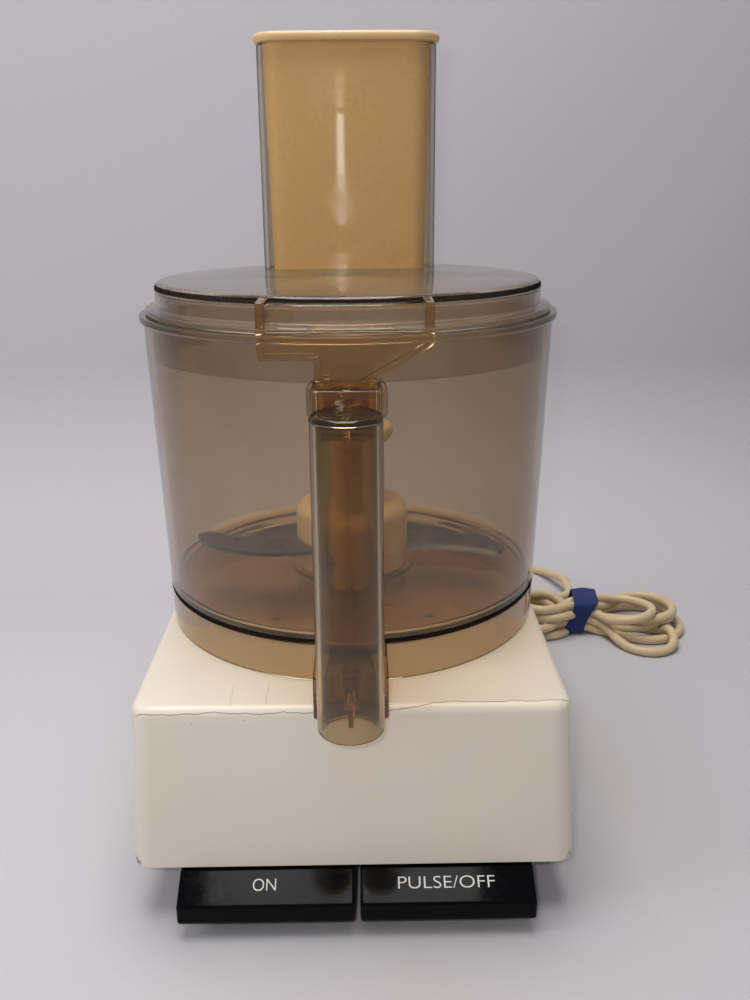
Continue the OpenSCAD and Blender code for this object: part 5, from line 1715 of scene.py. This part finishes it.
@dataclass
class Studio:
    """Camera, pale backdrop and lights.

    Attributes:
        eye: the camera's place.
        pitch: how far it looks down.
        pan: how far it looks to the right.
        roll: its turn about its own axis.
        lens: focal length in millimetres on a 36 mm sensor.
        wall_y: how far behind the object the backdrop stands.
        bend: radius of the backdrop's curve.
    """

    eye: tuple[float, float, float] = (0.00614, -0.45694, 0.30896)
    pitch: float = 0.313
    pan: float = 0.012
    roll: float = -0.008
    lens: float = 34.67
    wall_y: float = 0.42
    bend: float = 0.16

    def camera(self) -> None:
        """Places the camera."""
        cp, sp = math.cos(self.pitch), math.sin(self.pitch)
        forward = Vector((math.sin(self.pan) * cp, math.cos(self.pan) * cp, -sp))
        right = Vector((math.cos(self.pan), -math.sin(self.pan), 0))
        up = right.cross(forward)
        cr, sr = math.cos(self.roll), math.sin(self.roll)
        side, top = cr * right + sr * up, -sr * right + cr * up
        data = bpy.data.cameras.new("camera")
        data.lens, data.sensor_width, data.sensor_fit = self.lens, 36, "AUTO"
        data.clip_start = 0.02
        camera = placed("camera", data)
        camera.matrix_world = Matrix((side, top, -forward)).transposed().to_4x4()
        camera.location = self.eye
        bpy.context.scene.camera = camera

    def backdrop(self) -> bpy.types.Object:
        """One sheet: flat floor, a quarter turn and an upright wall, clear from its far side."""
        a = np.linspace(0, np.pi / 2, 24)
        wall, bend = self.wall_y, self.bend
        turn = np.stack([wall - bend + bend * np.sin(a), bend - bend * np.cos(a)], -1)
        line = np.concatenate([[[-1.6, 0.0], [-0.4, 0.0], [0.1, 0.0]], turn, [[wall, 0.8], [wall, 2.2]]])
        across = np.array([-1.8, 0.0, 1.8])
        x = np.broadcast_to(across[:, None], (len(line), 3, 1))
        points = np.concatenate([x, np.broadcast_to(line[:, None], (len(line), 3, 2))], -1).reshape(-1, 3)
        i, j = np.meshgrid(np.arange(len(line) - 1), np.arange(2), indexing="ij")
        k = (i * 3 + j).ravel()
        mesh = bpy.data.meshes.new("backdrop")
        mesh.from_pydata(points.tolist(), [], np.stack([k, k + 1, k + 4, k + 3], -1).tolist())
        mesh.shade_smooth()
        cloth = Finish("backdrop", (0.505, 0.49, 0.517), 0.75, relief=0.15, vary=0.05, dirt=0.05,
                       dirt_colour=(0.5, 0.48, 0.5)).build()
        nodes, links = cloth.node_tree.nodes, cloth.node_tree.links
        end = next(n for n in nodes if n.bl_idname == "ShaderNodeOutputMaterial")
        mix, clear = nodes.new("ShaderNodeMixShader"), nodes.new("ShaderNodeBsdfTransparent")
        links.new(nodes.new("ShaderNodeNewGeometry").outputs["Backfacing"], mix.inputs[0])
        links.new(end.inputs["Surface"].links[0].from_socket, mix.inputs[1])
        links.new(clear.outputs[0], mix.inputs[2])
        links.new(mix.outputs[0], end.inputs["Surface"])
        mesh.materials.append(cloth)
        return placed("backdrop", mesh)

    @staticmethod
    def lamp(name: str, at: Sequence[float], aim: Sequence[float], size: Sequence[float], watts: float,
             colour: Sequence[float] = (1, 1, 1)) -> bpy.types.Object:
        """A rectangular soft light.

        Args:
            name: its name.
            at: its place.
            aim: the point it faces.
            size: width and height.
            watts: its power.
            colour: its colour.

        Returns:
            The light object.
        """
        data = bpy.data.lights.new(name, "AREA")
        data.shape, data.size, data.size_y = "RECTANGLE", size[0], size[1]
        data.energy, data.color = watts, colour
        lamp = placed(name, data)
        lamp.location = at
        lamp.rotation_euler = (Vector(aim) - Vector(at)).to_track_quat("-Z", "Y").to_euler()
        return lamp

    def build(self) -> None:
        """Sets camera, backdrop, lights and world."""
        self.camera()
        key = self.lamp("key", (-0.07, 0.02, 1.25), (0, 0.02, 0.1), (1.0, 0.7), 12.5, (1.0, 0.985, 0.96))
        flash = self.lamp("flash", (-0.015, -0.46, 0.33), (0, 0, 0.2), (0.014, 0.014), 0.55,
                          (1.0, 0.99, 0.97))
        wash = self.lamp("wash", (-0.55, -0.25, 0.4), (-0.15, 0.42, 0.3), (0.3, 0.3), 1.6, (0.97, 0.97, 1.0))
        glint = self.lamp("glint", (-0.016, -0.62, 0.33), (0, 0, 0.3), (0.008, 0.12), 0.014)
        for light in (flash, wash):
            light.visible_glossy = light.visible_transmission = False
        self.backdrop()
        world = bpy.data.worlds.new("room")
        world.use_nodes = True
        sky = world.node_tree.nodes["Background"].inputs
        sky["Color"].default_value = (0.86, 0.87, 0.92, 1)
        sky["Strength"].default_value = 0.27
        scene = bpy.context.scene
        scene.world = world
        scene.view_settings.view_transform = "Standard"


def corners(bounds: Sequence[Vector]) -> list[list[float]]:
    """A box's two corners as plain lists."""
    return [[float(v) for v in corner] for corner in bounds]


def main() -> None:
    """Builds the studio, the cord and every sub-assembly."""
    logging.basicConfig(level=logging.INFO, format="%(name)s: %(message)s")
    Studio().build()
    Cord().dress()
    Housing().dress()
    Lever("on_lever", "ON", 10.0 * MM).dress()
    Lever("pulse_lever", "PULSE/OFF", 42 * MM).dress()
    Bowl().dress()
    Knife().dress()
    lid = Lid()
    lid.dress()
    Pusher(lid).dress()
    for finish, nodes in CAD_FINISHES.items():
        for node in nodes:
            finish_node(node, finish)


if __name__ == "__main__":
    main()
